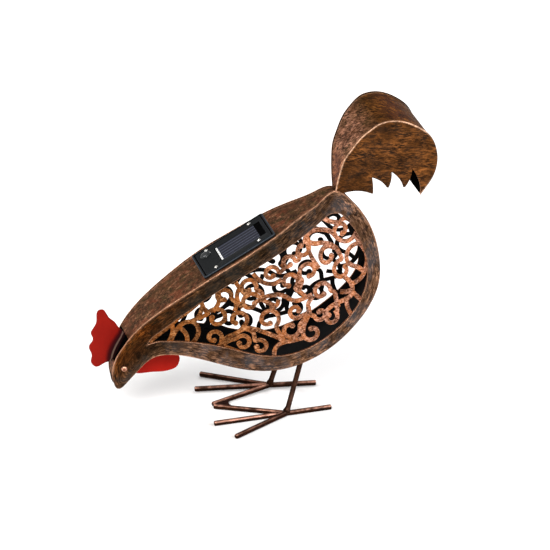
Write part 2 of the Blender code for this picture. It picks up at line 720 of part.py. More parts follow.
def buildTail(parent):
    grown = offset(bodyLoop, -GAP)
    dense, marks = withBends(tailPoints(spline(TAIL_CURVE, False, 500)), TAIL_ROOT, SPREAD,
                             TAIL_BENDS * TAIL_REACH, False)
    curve = dense[thin(dense, marks, math.radians(13), OUTLINE_FACET)]
    outline = np.vstack([curve, featherEdge()])
    lines = bendLines(TAIL_ROOT, SPREAD, TAIL_BENDS * TAIL_REACH, 0.2)
    region = largestPart(flatRegion([outline], [grown], lines))
    for hand, word in ((-1, "left"), (1, "right")):
        plate = plateMesh(f"{word}_tail_plate", region, placeBy(tailSide, hand), 0, SHEET)
        addObject(f"{word}_tail_plate", plate, copperBlack(f"{word} tail copper"), parent)
    outer = offset(outline, PROUD)[:len(curve)]
    inner = offset(outline, PROUD + SHEET)[:len(curve)]
    place = np.arange(len(curve), dtype=float)
    fine = np.linspace(0, len(curve) - 1, 60 * len(curve))
    buried = np.flatnonzero(inside(alongLine(outer, fine), grown) | inside(alongLine(inner, fine), grown))
    start = fine[buried[-1] + 2] if len(buried) else 0.0
    stations = [start, *place[(place > start + 0.05) & (place < place[-1])], place[-1] - TIP_SHORT]
    mesh = stripMesh("tail_band", alongLine(outer, stations), alongLine(inner, stations), tailSide)
    addObject("tail_band", mesh, copperBlack("tail band copper"), parent)


# Comb, wattle and eyes

def buildHead(parent):
    rear, front = windowEnds()
    rearEnd, frontEnd = stripOuter[rear], stripOuter[front]
    chord = (frontEnd - rearEnd) / np.linalg.norm(frontEnd - rearEnd)
    inwards = np.array([-chord[1], chord[0]])
    rearEnd = rearEnd + chord * GAP
    frontEnd = frontEnd - chord * GAP
    lobes = thinned(spline(toProfile(COMB_OUTLINE), False, 260), math.radians(20), LOBE_FACET)
    depth = inwards * SHEET
    outline = np.vstack([[rearEnd + depth, rearEnd], lobes, [frontEnd, frontEnd + depth]])
    mesh = plateMesh("comb", flatRegion([outline]), placeFlat, -SHEET / 2, SHEET / 2)
    addObject("comb", mesh, redPaint("comb red"), parent)

    lower = thinned(spline(toProfile(WATTLE_OUTLINE), False, 200), math.radians(16), LOBE_FACET)
    outline = np.vstack([lower, toProfile(((0.24, 0.0), (0.15, 0.05), (0.075, 0.03)))])
    region = largestPart(flatRegion([outline], [aroundStrip]))
    mesh = plateMesh("wattle", region, placeFlat, -SHEET / 2, SHEET / 2)
    addObject("wattle", mesh, redPaint("wattle red"), parent)

    spot = toProfile([EYE_PLACE])
    probe = toProfile([(EYE_PLACE[0] + 0.001, EYE_PLACE[1])])
    slope = float((bodySide(probe, 0) - bodySide(spot, 0))[0]) / (0.001 * BODY_LENGTH)
    for hand, word in ((-1, "left"), (1, "right")):
        face = Vector((-slope * AXIS[0], hand, -slope * AXIS[1])).normalized()
        seat = Vector((spot[0, 0], hand * float(bodySide(spot, 0)[0]), spot[0, 1])) + face * GAP
        mesh = domeMesh(f"{word}_eye", EYE_DIAMETER, EYE_HEIGHT, 12, 3)
        eye = addObject(f"{word}_eye", mesh, copperBright(f"{word} eye copper"), parent)
        eye.rotation_euler = face.to_track_quat("Z", "Y").to_euler()
        eye.location = seat


def domeMesh(name, diameter, height, sides, rings):
    """A round cap with a flat base."""
    points = []
    for ring in range(rings):
        rise = math.pi / 2 * ring / rings
        for k in range(sides):
            angle = 2 * math.pi * k / sides
            reach = diameter / 2 * math.cos(rise)
            points.append((reach * math.cos(angle), reach * math.sin(angle), height * math.sin(rise)))
    points.append((0, 0, height))
    faces = [tuple(reversed(range(sides)))]
    for ring in range(rings - 1):
        for k in range(sides):
            a = ring * sides + k
            b = ring * sides + (k + 1) % sides
            faces.append((a, b, b + sides, a + sides))
    top = len(points) - 1
    for k in range(sides):
        faces.append(((rings - 1) * sides + k, (rings - 1) * sides + (k + 1) % sides, top))
    mesh = meshFrom(name, points, faces)
    mesh.shade_smooth()
    mesh.set_sharp_from_angle(angle=math.radians(50))
    return mesh


# Legs and toes

def rodRing(middle, forward, up, radius):
    """A ring of points round a rod, with a flat turned down."""
    forward = Vector(forward).normalized()
    side = forward.cross(Vector(up)).normalized()
    rise = side.cross(forward)
    corner = radius / math.cos(math.pi / ROD_SIDES)
    ring = []
    for k in range(ROD_SIDES):
        angle = 2 * math.pi * (k + 0.5) / ROD_SIDES
        ring.append(Vector(middle) + corner * (side * math.cos(angle) + rise * math.sin(angle)))
    return ring


def rodMesh(name, rings):
    points = [p for ring in rings for p in ring]
    faces = [tuple(range(ROD_SIDES)), tuple(reversed(range(len(points) - ROD_SIDES, len(points))))]
    for i in range(len(rings) - 1):
        for k in range(ROD_SIDES):
            a = i * ROD_SIDES + k
            b = i * ROD_SIDES + (k + 1) % ROD_SIDES
            faces.append((a, b, b + ROD_SIDES, a + ROD_SIDES))
    mesh = meshFrom(name, points, faces)
    mesh.shade_smooth()
    mesh.set_sharp_from_angle(angle=math.radians(50))
    return mesh


def straightRod(name, start, end, roundStart, roundEnd):
    """A rod with its ends rounded over where asked."""
    start, end = Vector(start), Vector(end)
    forward = (end - start).normalized()
    up = (0, 0, 1)
    radius = ROD / 2
    nose = radius * 0.55
    rings = []
    if roundStart:
        rings.append(rodRing(start, forward, up, radius * 0.5))
        rings.append(rodRing(start + forward * nose * 0.4, forward, up, radius * 0.86))
        rings.append(rodRing(start + forward * nose, forward, up, radius))
    else:
        rings.append(rodRing(start, forward, up, radius))
    if roundEnd:
        rings.append(rodRing(end - forward * nose, forward, up, radius))
        rings.append(rodRing(end - forward * nose * 0.4, forward, up, radius * 0.86))
        rings.append(rodRing(end, forward, up, radius * 0.5))
    else:
        rings.append(rodRing(end, forward, up, radius))
    return rodMesh(name, rings)


def bellyHeight(x, low):
    """Height of a closed outline's underside at x."""
    found = []
    for a, b in zip(low, np.roll(low, -1, axis=0)):
        if (a[0] - x) * (b[0] - x) <= 0 and a[0] != b[0]:
            found.append(a[1] + (b[1] - a[1]) * (x - a[0]) / (b[0] - a[0]))
    return min(found)


def legMesh(name, foot, hip, underside):
    """A leg from the middle of a foot to the body's underside, its top cut to fit the belly."""
    foot, hip = Vector(foot), Vector(hip)
    forward = (hip - foot).normalized()
    base = rodRing(foot, forward, (1, 0, 0), ROD / 2)
    top = []
    for point in base:
        low, high = 0.0, 0.2
        for _ in range(40):
            middle = (low + high) / 2
            there = point + forward * middle
            if there.z < bellyHeight(there.x, underside):
                low = middle
            else:
                high = middle
        top.append(point + forward * low)
    return rodMesh(name, [base, top])


def buildLegs(parent):
    radius = ROD / 2
    underside = aroundStrip
    hipX = 0.0
    for _ in range(20):
        hipX = (bellyHeight(hipX, underside) - radius) * math.tan(LEG_LEAN)
    hipZ = bellyHeight(hipX, underside)
    hipSide = float(bodySide(np.array([[hipX, hipZ]]), SHEET + GAP + radius / math.cos(0.08))[0]) - GAP
    for hand, word in ((-1, "left"), (1, "right")):
        middle = Vector((0, hand * FOOT_SPACING / 2, radius))

        def toward(angle):
            return Vector((-math.cos(angle), hand * math.sin(angle), 0))

        ahead = toward(TOE_OUT)
        hip = Vector((hipX, hand * hipSide, hipZ))
        upward = (hip - middle).normalized()
        cutter = rodCutter(f"{word}_toe_cutter", middle, ahead, 0.1, parent)
        legCutter = rodCutter(f"{word}_leg_cutter", middle, upward, 0.03, parent)
        mesh = straightRod(f"{word}_middle_toe", middle - ahead * BACK_TOE, middle + ahead * TOE_LENGTH,
                           True, True)
        addObject(f"{word}_middle_toe", mesh, darkRod(f"{word} middle toe bronze"), parent)
        outer = toward(TOE_OUT + TOE_SPREAD)
        mesh = straightRod(f"{word}_outer_toe", middle, middle + outer * TOE_LENGTH, False, True)
        toe = addObject(f"{word}_outer_toe", mesh, darkRod(f"{word} outer toe bronze"), parent)
        cutBy(toe, cutter)
        cutBy(toe, legCutter)
        inward = INNER_TOE_SPREAD - TOE_OUT
        reach = (FOOT_SPACING / 2 - GAP / 2 - radius * math.cos(inward)) / math.sin(inward)
        inner = toward(TOE_OUT - INNER_TOE_SPREAD)
        mesh = straightRod(f"{word}_inner_toe", middle, middle + inner * reach, False, True)
        toe = addObject(f"{word}_inner_toe", mesh, darkRod(f"{word} inner toe bronze"), parent)
        cutBy(toe, cutter)
        cutBy(toe, legCutter)
        mesh = legMesh(f"{word}_leg", middle, hip, underside)
        leg = addObject(f"{word}_leg", mesh, darkRod(f"{word} leg bronze"), parent)
        cutBy(leg, cutter)
    buildToeWeld(parent, reach, inward)


def rodCutter(name, middle, direction, reach, parent):
    """A rod with the clearance added all round, to cut other rods with."""
    mesh = straightRod(name, middle - direction * reach, middle + direction * reach, False, False)
    mesh.transform(Matrix.Translation(middle) @ growAcross(direction, (ROD / 2 + GAP) / (ROD / 2))
                   @ Matrix.Translation(-middle))
    return addCutter(name, mesh, parent)


def growAcross(direction, factor):
    """A matrix that widens across a direction and keeps lengths along it."""
    along = Vector(direction).normalized()
    keep = Matrix(((along.x * along.x, along.x * along.y, along.x * along.z),
                   (along.y * along.x, along.y * along.y, along.y * along.z),
                   (along.z * along.x, along.z * along.y, along.z * along.z)))
    return (keep + (Matrix.Identity(3) - keep) * factor).to_4x4()


def buildToeWeld(parent, reach, inward):
    """The web between the inner toes, a little behind their tips."""
    radius = ROD / 2
    tipX = -reach * math.cos(inward)
    noseX = tipX + radius
    aside = radius / math.cos(inward) + GAP * 1.3

    def halfRoom(x):
        return FOOT_SPACING / 2 + x * math.tan(inward) - aside

    startX = (GAP / 2 + aside - FOOT_SPACING / 2) / math.tan(inward)
    startX = max(startX + 0.001, noseX)
    endX = startX + WELD_LENGTH
    low = radius - WELD_HEIGHT / 2
    plan = ((startX, -halfRoom(startX)), (endX, -halfRoom(endX)), (endX, halfRoom(endX)),
            (startX, halfRoom(startX)))
    points = [(x, y, low) for x, y in plan] + [(x, y, low + WELD_HEIGHT) for x, y in plan]
    faces = [(3, 2, 1, 0), (4, 5, 6, 7)] + [(i, (i + 1) % 4, (i + 1) % 4 + 4, i + 4) for i in range(4)]
    addObject("toe_weld", meshFrom("toe_weld", points, faces), darkRod("weld bronze"), parent)


# Solar unit

def unitMatrix():
    """The unit's frame on the back: X towards the tail, Z out of the back."""
    share = np.linspace(0, 1, 30, endpoint=False)[None, :, None]
    step = np.roll(stripOuter, -1, axis=0) - stripOuter
    back = (stripOuter[:, None] + step[:, None] * share).reshape(-1, 2)
    shares = (back - BEAK) @ AXIS / BODY_LENGTH
    upper = (back - BEAK) @ ACROSS > -0.05 * BODY_LENGTH
    half = UNIT_LENGTH / 2 / BODY_LENGTH
    under = back[upper & (abs(shares - UNIT_PLACE) < half)]
    start, end = under[np.argmin(under @ AXIS)], under[np.argmax(under @ AXIS)]
    chord = (end - start) / np.linalg.norm(end - start)
    normal = np.array([-chord[1], chord[0]])
    highest = np.max(under @ normal)
    middle = (start + end) / 2
    middle = middle + normal * (highest - middle @ normal + GAP)
    matrix = Matrix(((chord[0], 0, normal[0], middle[0]), (0, 1, 0, 0),
                     (chord[1], 0, normal[1], middle[1]), (0, 0, 0, 1)))
    return matrix


def ringMesh(name, length, width, thickness, low, high):
    """A rectangular ring, as a cutter for the groove."""
    points = []
    for z in (low, high):
        for inset in (0, thickness):
            x, y = length / 2 - inset, width / 2 - inset
            points += [(-x, -y, z), (x, -y, z), (x, y, z), (-x, y, z)]
    faces = []
    for i in range(4):
        j = (i + 1) % 4
        faces += [(i, 4 + i, 4 + j, j), (8 + i, 8 + j, 12 + j, 12 + i)]
        faces += [(i, j, 8 + j, 8 + i), (4 + i, 12 + i, 12 + j, 4 + j)]
    return meshFrom(name, points, faces)


def onUnit(place):
    """A move to a place on the unit's top, given in shares of its length and width."""
    return Matrix.Translation((place[0] * UNIT_LENGTH, place[1] * UNIT_WIDTH, UNIT_RISE + GAP))


def buildSolarUnit(parent, matrix):
    """The moulded unit: a low lid on the back and a plain box below, let into the body."""
    rise = UNIT_RISE
    frame = bpy.data.objects.new("solar_unit", None)
    bpy.context.scene.collection.objects.link(frame)
    frame.parent = parent
    frame.matrix_local = matrix
    shape = bmesh.new()
    edge = UNIT_CORNER
    boxTop = 0.0
    levels = (
        (BOX_LENGTH, BOX_WIDTH, -BOX_DEPTH), (BOX_LENGTH, BOX_WIDTH, boxTop),
        (UNIT_LENGTH, UNIT_WIDTH, boxTop), (UNIT_LENGTH, UNIT_WIDTH, rise - edge * 0.6),
        (UNIT_LENGTH - edge * 1.2, UNIT_WIDTH - edge * 1.2, rise),
    )
    rows = []
    for length, width, z in levels:
        x, y = length / 2, width / 2
        rows.append([shape.verts.new(p) for p in ((-x, -y, z), (x, -y, z), (x, y, z), (-x, y, z))])
    shape.faces.new(reversed(rows[0]))
    for low, high in zip(rows[:-1], rows[1:]):
        for i in range(4):
            j = (i + 1) % 4
            shape.faces.new((low[i], low[j], high[j], high[i]))
    shape.faces.new(rows[-1])
    mesh = bpy.data.meshes.new("solar_housing")
    bmesh.ops.recalc_face_normals(shape, faces=shape.faces)
    shape.to_mesh(mesh)
    shape.free()
    housing = addObject("solar_housing", mesh, blackPlastic("housing plastic"), frame)
    groove = ringMesh("groove", UNIT_LENGTH - 2 * LIP, UNIT_WIDTH - 2 * LIP, GROOVE,
                      rise - GROOVE_DEPTH, 2 * rise)
    cutBy(housing, addCutter("groove_cutter", groove, frame))
    window = boxMesh("window", (WINDOW_LENGTH, WINDOW_WIDTH, 2 * WINDOW_DEPTH), (WINDOW_SHIFT, 0, rise))
    cutBy(housing, addCutter("window_cutter", window, frame))

    floor = rise - WINDOW_DEPTH + GAP
    cellShift = WINDOW_SHIFT - (WINDOW_LENGTH - CELL_LENGTH) / 2 + 0.0012
    cell = boxMesh("solar_cell", (CELL_LENGTH, CELL_WIDTH, CELL_THICKNESS),
                   (cellShift, 0, floor + CELL_THICKNESS / 2))
    addObject("solar_cell", cell, material("cell glass", (0.035, 0.045, 0.075), 0.2, 0.2), frame)

    button = domeMesh("push_button", BUTTON_DIAMETER, BUTTON_HEIGHT, 20, 4)
    button.transform(onUnit(BUTTON_PLACE))
    addObject("push_button", button, blackPlastic("button rubber"), frame)
    for number, place in enumerate(SCREW_PLACES, 1):
        screw = domeMesh(f"solar_screw_{number}", SCREW_DIAMETER, SCREW_HEIGHT, 12, 2)
        screw.transform(onUnit(place))
        steel = material(f"screw {number} steel", (0.6, 0.6, 0.58), 0.3, 1.0)
        addObject(f"solar_screw_{number}", screw, steel, frame)
    clear = boxMesh("box clearance", (BOX_LENGTH + 2 * GAP, BOX_WIDTH + 2 * GAP, 0.02), (0, 0, 0))
    return addCutter("box_cutter", clear, frame)


def standOnFloor(parent):
    """Move the whole hen so that the frame's origin is under the middle of its box."""
    bpy.context.view_layer.update()
    depsgraph = bpy.context.evaluated_depsgraph_get()
    low = np.full(3, np.inf)
    high = -low
    for piece in bpy.context.scene.objects:
        if piece.type == "MESH" and not piece.hide_render:
            shape = piece.evaluated_get(depsgraph)
            corners = np.array([shape.matrix_world @ v.co for v in shape.data.vertices])
            low = np.minimum(low, corners.min(axis=0))
            high = np.maximum(high, corners.max(axis=0))
    parent.location = (-(low[0] + high[0]) / 2, -(low[1] + high[1]) / 2, -low[2])


def build():
    for old in list(bpy.data.objects):
        bpy.data.objects.remove(old, do_unlink=True)
    hen = bpy.data.objects.new("hen", None)
    bpy.context.scene.collection.objects.link(hen)
    boxCutter = buildSolarUnit(hen, unitMatrix())
    buildBodyBand(hen, boxCutter)
    buildBodySides(hen)
    buildTail(hen)
    buildHead(hen)
    buildLegs(hen)
    standOnFloor(hen)


build()
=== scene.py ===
from functools import partial
from math import cos, pi, radians, sin
from types import SimpleNamespace

import bpy
import numpy as np
from mathutils import Matrix, Vector
from mathutils.geometry import delaunay_2d_cdt


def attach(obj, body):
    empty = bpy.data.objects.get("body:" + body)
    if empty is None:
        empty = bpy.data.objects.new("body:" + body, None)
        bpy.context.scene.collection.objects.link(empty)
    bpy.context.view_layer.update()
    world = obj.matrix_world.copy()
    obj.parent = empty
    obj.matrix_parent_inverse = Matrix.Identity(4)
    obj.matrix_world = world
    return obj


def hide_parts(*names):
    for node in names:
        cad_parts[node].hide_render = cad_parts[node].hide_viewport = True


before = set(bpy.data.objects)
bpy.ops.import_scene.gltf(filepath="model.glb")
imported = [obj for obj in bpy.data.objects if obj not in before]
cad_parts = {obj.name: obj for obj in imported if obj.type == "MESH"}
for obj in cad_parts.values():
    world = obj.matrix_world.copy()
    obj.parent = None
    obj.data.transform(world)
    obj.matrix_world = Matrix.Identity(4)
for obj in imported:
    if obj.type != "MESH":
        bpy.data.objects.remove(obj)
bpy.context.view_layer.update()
print("the packed hen is loaded:", len(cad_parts), "solids")


# Camera, light and floor

view = {
    "azimuth": -13.6,  # degrees from straight at the left side, towards the head
    "elevation": 23.6, "distance": 5.0,
    "pixels": 5000.0,  # focal length in pixels of the picture
    "picture": 550.0,
    "between": (0.02, 0.0, 0.0),  # the point between the feet
    "lands": (277.9, 401.3),  # the pixel where it shows
}


def addObject(name, data):
    thing = bpy.data.objects.new(name, data)
    bpy.context.scene.collection.objects.link(thing)
    return thing


def newFinish(name, values):
    # A Principled material with these values on its sockets
    finish = bpy.data.materials.new(name)
    finish.use_nodes = True
    shader = finish.node_tree.nodes["Principled BSDF"]
    for socket, value in values.items():
        shader.inputs[socket].default_value = value
    return finish, finish.node_tree, shader


def addCamera(v):
    # The camera stands off the feet and turns until they land on their pixel
    a, e, half = radians(v["azimuth"]), radians(v["elevation"]), v["picture"] / 2
    back = Vector((sin(a) * cos(e), -cos(a) * cos(e), sin(e)))
    right = Vector((cos(a), sin(a), 0))
    up = back.cross(right)
    across, down = ((v["lands"][k] - half) / v["pixels"] for k in (0, 1))
    backward = (back + right * across - up * down).normalized()
    sideways = up.cross(backward).normalized()
    lens = bpy.data.cameras.new("camera")
    lens.sensor_width, lens.clip_end = 36, 60
    lens.lens = 36 * v["pixels"] / v["picture"]
    camera = addObject("camera", lens)
    turned = Matrix((sideways, backward.cross(sideways), backward)).transposed().to_4x4()
    camera.matrix_world = Matrix.Translation(Vector(v["between"]) + back * v["distance"]) @ turned
    bpy.context.scene.camera = camera


studio = {
    "air": 0.4,
    "lamps": (  # place, the point it faces, width, height, watts, colour
        ((-1.6, -2.6, 2.6), (0, 0.3, 0.0), 2.2, 1.6, 150, (1.0, 0.98, 0.95)),
        ((2.2, -2.2, 1.9), (0, 0.3, 0.0), 1.6, 1.6, 80, (0.97, 0.98, 1.0)),
        ((-2.2, 1.4, 2.4), (0, 0.3, 0.0), 1.2, 1.2, 45, (1.0, 1.0, 1.0)),
        ((2.0, 2.6, 2.6), (0, 0.6, 0.0), 1.0, 1.0, 45, (1.0, 1.0, 1.0)),
    ),
    "floor": (0.95, 0.95, 0.95),
}


def addStudio(s):
    world = bpy.data.worlds.new("studio air")
    world.use_nodes = True
    air = world.node_tree.nodes["Background"].inputs
    air["Color"].default_value, air["Strength"].default_value = (1, 1, 1, 1), s["air"]
    bpy.context.scene.world = world
    bpy.context.scene.view_settings.view_transform = "Standard"
    for number, (place, faces, width, height, watts, colour) in enumerate(s["lamps"], 1):
        lamp = bpy.data.lights.new(f"soft box {number}", "AREA")
        lamp.shape, lamp.size, lamp.size_y = "RECTANGLE", width, height
        lamp.energy, lamp.color = watts, colour
        aim = (Vector(faces) - Vector(place)).to_track_quat("-Z", "Y").to_matrix().to_4x4()
        addObject(f"soft box {number}", lamp).matrix_world = Matrix.Translation(place) @ aim
    mesh = bpy.data.meshes.new("floor")
    mesh.from_pydata([(-8, -8, 0), (8, -8, 0), (8, 12, 0), (-8, 12, 0)], [], [(0, 1, 2, 3)])
    mesh.materials.append(newFinish("pale floor", {"Base Color": (*s["floor"], 1), "Roughness": 0.8})[0])
    floor = addObject("floor", mesh)


addCamera(view)
addStudio(studio)
print("camera, lamps and floor stand")


# Node groups that several finishes share

def addNode(tree, kind, links=(), out=0, **settings):
    # One node's output: settings are its properties, links give values or wires to its inputs
    node = tree.nodes.new("ShaderNode" + kind)
    for key, value in settings.items():
        setattr(node, key, value)
    for key, value in dict(links).items():
        if isinstance(value, bpy.types.NodeSocket):
            tree.links.new(value, node.inputs[key])
        else:
            node.inputs[key].default_value = (*value, 1) if node.inputs[key].type == "RGBA" else value
    return node.outputs[out]


def addMath(tree, operation, a, b=0.0, c=0.0, clamp=False):
    return addNode(tree, "Math", {0: a, 1: b, 2: c}, operation=operation, use_clamp=clamp)


def addMix(tree, share, a, b, blend="MIX"):
    return addNode(tree, "Mix", {0: share, 6: a, 7: b}, 2, data_type="RGBA", blend_type=blend)


def newGroup(name, *labels):
    # A group that turns a vector and numbers into one number
    group = bpy.data.node_groups.new(name, "ShaderNodeTree")
    for label in ("Vector", *labels):
        kind = "NodeSocketVector" if label == "Vector" else "NodeSocketFloat"
        group.interface.new_socket(label, in_out="INPUT", socket_type=kind)
    group.interface.new_socket("Mask", in_out="OUTPUT", socket_type="NodeSocketFloat")
    return group, group.nodes.new("NodeGroupInput").outputs, group.nodes.new("NodeGroupOutput").inputs


def buildMask(name, size, detail, roughness, distortion):
    # Noise hardened round a middle by its cover and softness; brush streaks are drawn out along
    # the first coordinate, patches are sized in metres
    group, given, result = newGroup(name, *size, "Cover", "Softness", "Seed")
    where, scale = given["Vector"], given[size[0]]
    if "Stretch" in size:
        short = addMath(group, "DIVIDE", 1.0, given["Stretch"])
        shape = addNode(group, "CombineXYZ", {0: short, 1: 1.0, 2: 1.0})
        where = addNode(group, "VectorMath", {0: where, 1: shape}, operation="MULTIPLY")
    else:
        scale = addMath(group, "DIVIDE", 1.0, scale)
    noise = addNode(group, "TexNoise", {
        "Vector": where, "W": given["Seed"], "Scale": scale, "Detail": detail, "Roughness": roughness,
        "Distortion": distortion}, noise_dimensions="4D")
    middle = addMath(group, "SUBTRACT", 1.0, given["Cover"])
    low, high = (addMath(group, word, middle, given["Softness"]) for word in ("SUBTRACT", "ADD"))
    hard = addNode(group, "MapRange", {"Value": noise, "From Min": low, "From Max": high},
                   interpolation_type="SMOOTHSTEP")
    group.links.new(hard, result[0])
    return group


def buildSkin():
    # Powder coat: a fine orange peel with smaller grains on it, as a height from 0 to 1
    group, given, result = newGroup("powder coat", "Grain", "Peel")
    grain, peel = (addNode(group, "TexNoise", {
        "Vector": given["Vector"], "Scale": addMath(group, "DIVIDE", 1.0, given[size]), "Detail": 2.0})
        for size in ("Grain", "Peel"))
    group.links.new(addMath(group, "MULTIPLY_ADD", grain, 0.35, addMath(group, "MULTIPLY", peel, 0.65)), result[0])
    return group


groups = {"brush": buildMask("brush streaks", ("Density", "Stretch"), 7.0, 0.68, 0.0),
          "patch": buildMask("worn patches", ("Size",), 4.0, 0.55, 0.4), "skin": buildSkin()}


def useGroup(tree, name, vector, **links):
    links = {key.capitalize(): value for key, value in links.items()}
    return addNode(tree, "Group", {"Vector": vector, **links}, node_tree=groups[name])


def startFinish(name, roughness, metallic=0.0, sheen=(1.0, 1.0, 1.0), gleam=0.18):
    finish, tree, shader = newFinish(name, {"Roughness": roughness, "Metallic": metallic,
                                            "Specular IOR Level": gleam, "Specular Tint": (*sheen, 1)})
    return finish, tree, shader, addNode(tree, "TexCoord", out="Object")


def endFinish(tree, shader, colour, rough, height, strength, depth):
    normal = addNode(tree, "Bump", {"Height": height, "Strength": strength, "Distance": depth})
    for socket, value in (("Base Color", colour), ("Roughness", rough), ("Normal", normal)):
        tree.links.new(value, shader.inputs[socket])


def wearAndPaintedLightMask(tree):
    return addNode(tree, "Attribute", out="Fac", attribute_name="wearAndPaintedLight")


# What the copper finishes have in common: sizes in metres, densities per metre
copperLook = dict(
    along="object", turn=(0, 0, 0), tints=(), casts=(), edge=None, chipSize=0.004, edgeFloor=0.22,
    sheen=(0.5, 0.3, 0.17), gleam=0.18, metallic=0.65, roughness=0.42, bump=0.28, rubbedNear=None,
    cloudSize=0.01, cloudCover=0.5, areaSize=0.018, areaCover=0.5,
    density=560.0, stretch=4.0, cover=0.43, softness=0.05)


def copperFinish(name, look):
    # Black powder coat under dry-brushed copper: base colour, cloudy brown, patches of tint, copper strokes,
    # then the rubbed edges and the painted highlights that the wear-and-light attribute marks
    c = SimpleNamespace(**look)
    finish, tree, shader, plain = startFinish(name, c.roughness, c.metallic, c.sheen, c.gleam)
    math, mix = partial(addMath, tree), partial(addMix, tree)
    sheet = plain if c.along == "object" else addNode(tree, "UVMap", uv_map="sheet")
    where = addNode(tree, "Mapping", {"Vector": sheet, "Rotation": [radians(v) for v in c.turn]})

    def patch(size, cover, softness, shift):
        return useGroup(tree, "patch", plain, size=size, cover=cover, softness=softness, seed=c.seed + shift)

    def brush(closer, longer, cover, softness, shift):
        return useGroup(tree, "brush", where, density=c.density * closer, stretch=c.stretch * longer,
                        cover=cover, softness=softness, seed=c.seed + shift)

    cloud = patch(c.cloudSize, c.cloudCover, 0.2, 0)
    colour = mix(cloud, c.dark, c.brown)
    for number, (tint, size, cover) in enumerate(c.tints):
        colour = mix(math("MULTIPLY", patch(size, cover, 0.12, 3.7 + number), 0.75), colour, tint)
    broad = brush(0.55, 0.7, c.cover, c.softness * 1.3, 1.3)
    fine = brush(1.9, 1.4, c.cover + 0.02, c.softness, 8.3)
    stroke = math("MULTIPLY_ADD", fine, 0.55, math("MULTIPLY", broad, 0.45))
    area = math("MULTIPLY_ADD", patch(c.areaSize, c.areaCover, 0.22, 2.1), 0.8, 0.2)
    rubbed = math("MULTIPLY", stroke, area)
    if c.rubbedNear:
        # Strokes thin out away from the plate's edge, whose distance is the map's second coordinate
        near = addNode(tree, "MapRange", {
            "Value": addNode(tree, "SeparateXYZ", {0: sheet}, 1), "From Min": 0.0, "From Max": c.rubbedNear,
            "To Min": 1.0, "To Max": c.rubbedFar}, interpolation_type="SMOOTHSTEP")
        rubbed = math("MULTIPLY", rubbed, near)
    colour = mix(rubbed, colour, c.copper)
    for tint, direction, start, end in c.casts:
        # The whole finish shifts towards a tint along a direction, between two distances in metres
        far = addNode(tree, "VectorMath", {0: plain, 1: direction}, "Value", operation="DOT_PRODUCT")
        share = addNode(tree, "MapRange", {"Value": far, "From Min": start, "From Max": end})
        colour = mix(share, colour, mix(1.0, colour, tint, "MULTIPLY"))
    # Edge colour where the attribute marks real edge wear and where it marks a painted highlight
    if c.edge:
        chip = math("ADD", patch(c.chipSize, 0.5, 0.2, 5.5), c.edgeFloor)
        colour = mix(math("MULTIPLY", wearAndPaintedLightMask(tree), chip, clamp=True), colour, c.edge)
    rough = math("MULTIPLY_ADD", cloud, -0.1, c.roughness + 0.05)
    skin = useGroup(tree, "skin", plain, grain=0.0009, peel=0.004)
    endFinish(tree, shader, colour, rough, math("MULTIPLY_ADD", stroke, 0.4, skin), c.bump, 0.0004)
    return finish


def paintFinish(name, look):
    # One paint with cloudy depth and a powder-coat skin; the wear-and-light attribute moves it along its fade, which
    # paints shade on the comb and wattle and highlights on the housing's rims
    finish, tree, shader, plain = startFinish(name, look["roughness"], 0.0, look.get("sheen", (1.0, 1.0, 1.0)),
                                              look.get("gleam", 0.12))
    cloud = useGroup(tree, "patch", plain, size=look["cloudSize"], cover=0.5, softness=0.25, seed=look["seed"])
    colour = addMix(tree, cloud, look["paint"], look["deeper"])
    if "fade" in look:
        ramp = addNode(tree, "ValToRGB", {0: wearAndPaintedLightMask(tree)})
        elements = ramp.node.color_ramp.elements
        for place, tone in look["fade"][2:]:
            elements.new(place)
        for element, (place, tone) in zip(elements, look["fade"]):
            element.position, element.color = place, (*tone, 1)
        colour = addMix(tree, 1.0, colour, ramp, "MULTIPLY")
    skin = useGroup(tree, "skin", plain, grain=look["grain"], peel=0.004)
    endFinish(tree, shader, colour, addMath(tree, "MULTIPLY_ADD", skin, 0.12, look["roughness"] - 0.06), skin,
              look["bump"], 0.0004)
    return finish


# Meshes

hands = ((-1, "left"), (1, "right"))


def together(*parts):
    # Coordinates of any shapes that fit together, as one array of points
    return np.stack(np.broadcast_arrays(*parts), axis=-1)


def size(vectors):
    return np.linalg.norm(vectors, axis=-1)


def turns(sides):
    return np.linspace(0, 2 * pi, sides, endpoint=False)


def thereAndBack(front, back=None):
    # Rows of the front, then rows of the back (or the same again) from the last to the first
    return np.concatenate([front, (front if back is None else back)[::-1]])


def gridFaces(rows, columns, closedRows=False, closedColumns=False):
    # A quad for every cell of a grid of points, rows × columns
    r, c = np.mgrid[:rows - (not closedRows), :columns - (not closedColumns)].reshape(2, -1)
    below, beside = (r + 1) % rows * columns, (c + 1) % columns
    return together(r * columns + c, r * columns + beside, below + beside, below + c)


def addPiece(name, points, faces, finishes, nodes, finishOf=None, sheet=None, wearAndPaintedLight=None, sharp=35):
    # A mesh object that rides on the hen and stands for its CAD nodes
    mesh = bpy.data.meshes.new(name)
    mesh.from_pydata(points.reshape(-1, 3).tolist(), [], [list(map(int, face)) for face in faces])
    for finish in finishes:
        mesh.materials.append(finish)
    if finishOf is not None:
        mesh.polygons.foreach_set("material_index", np.asarray(finishOf, np.int32))
    if sheet is not None:
        corners = np.empty(len(mesh.loops), np.int32)
        mesh.loops.foreach_get("vertex_index", corners)
        uv = sheet.reshape(-1, 2)[corners].astype(np.float32)
        mesh.uv_layers.new(name="sheet").data.foreach_set("uv", uv.ravel())
    if wearAndPaintedLight is not None:
        mesh.attributes.new("wearAndPaintedLight", "FLOAT", "POINT").data.foreach_set("value", wearAndPaintedLight.astype(np.float32).ravel())
    mesh.shade_smooth()
    mesh.set_sharp_from_angle(angle=radians(sharp))
    mesh.update()
    piece = addObject(name, mesh)
    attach(piece, "root")
    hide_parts(*nodes)
    return piece


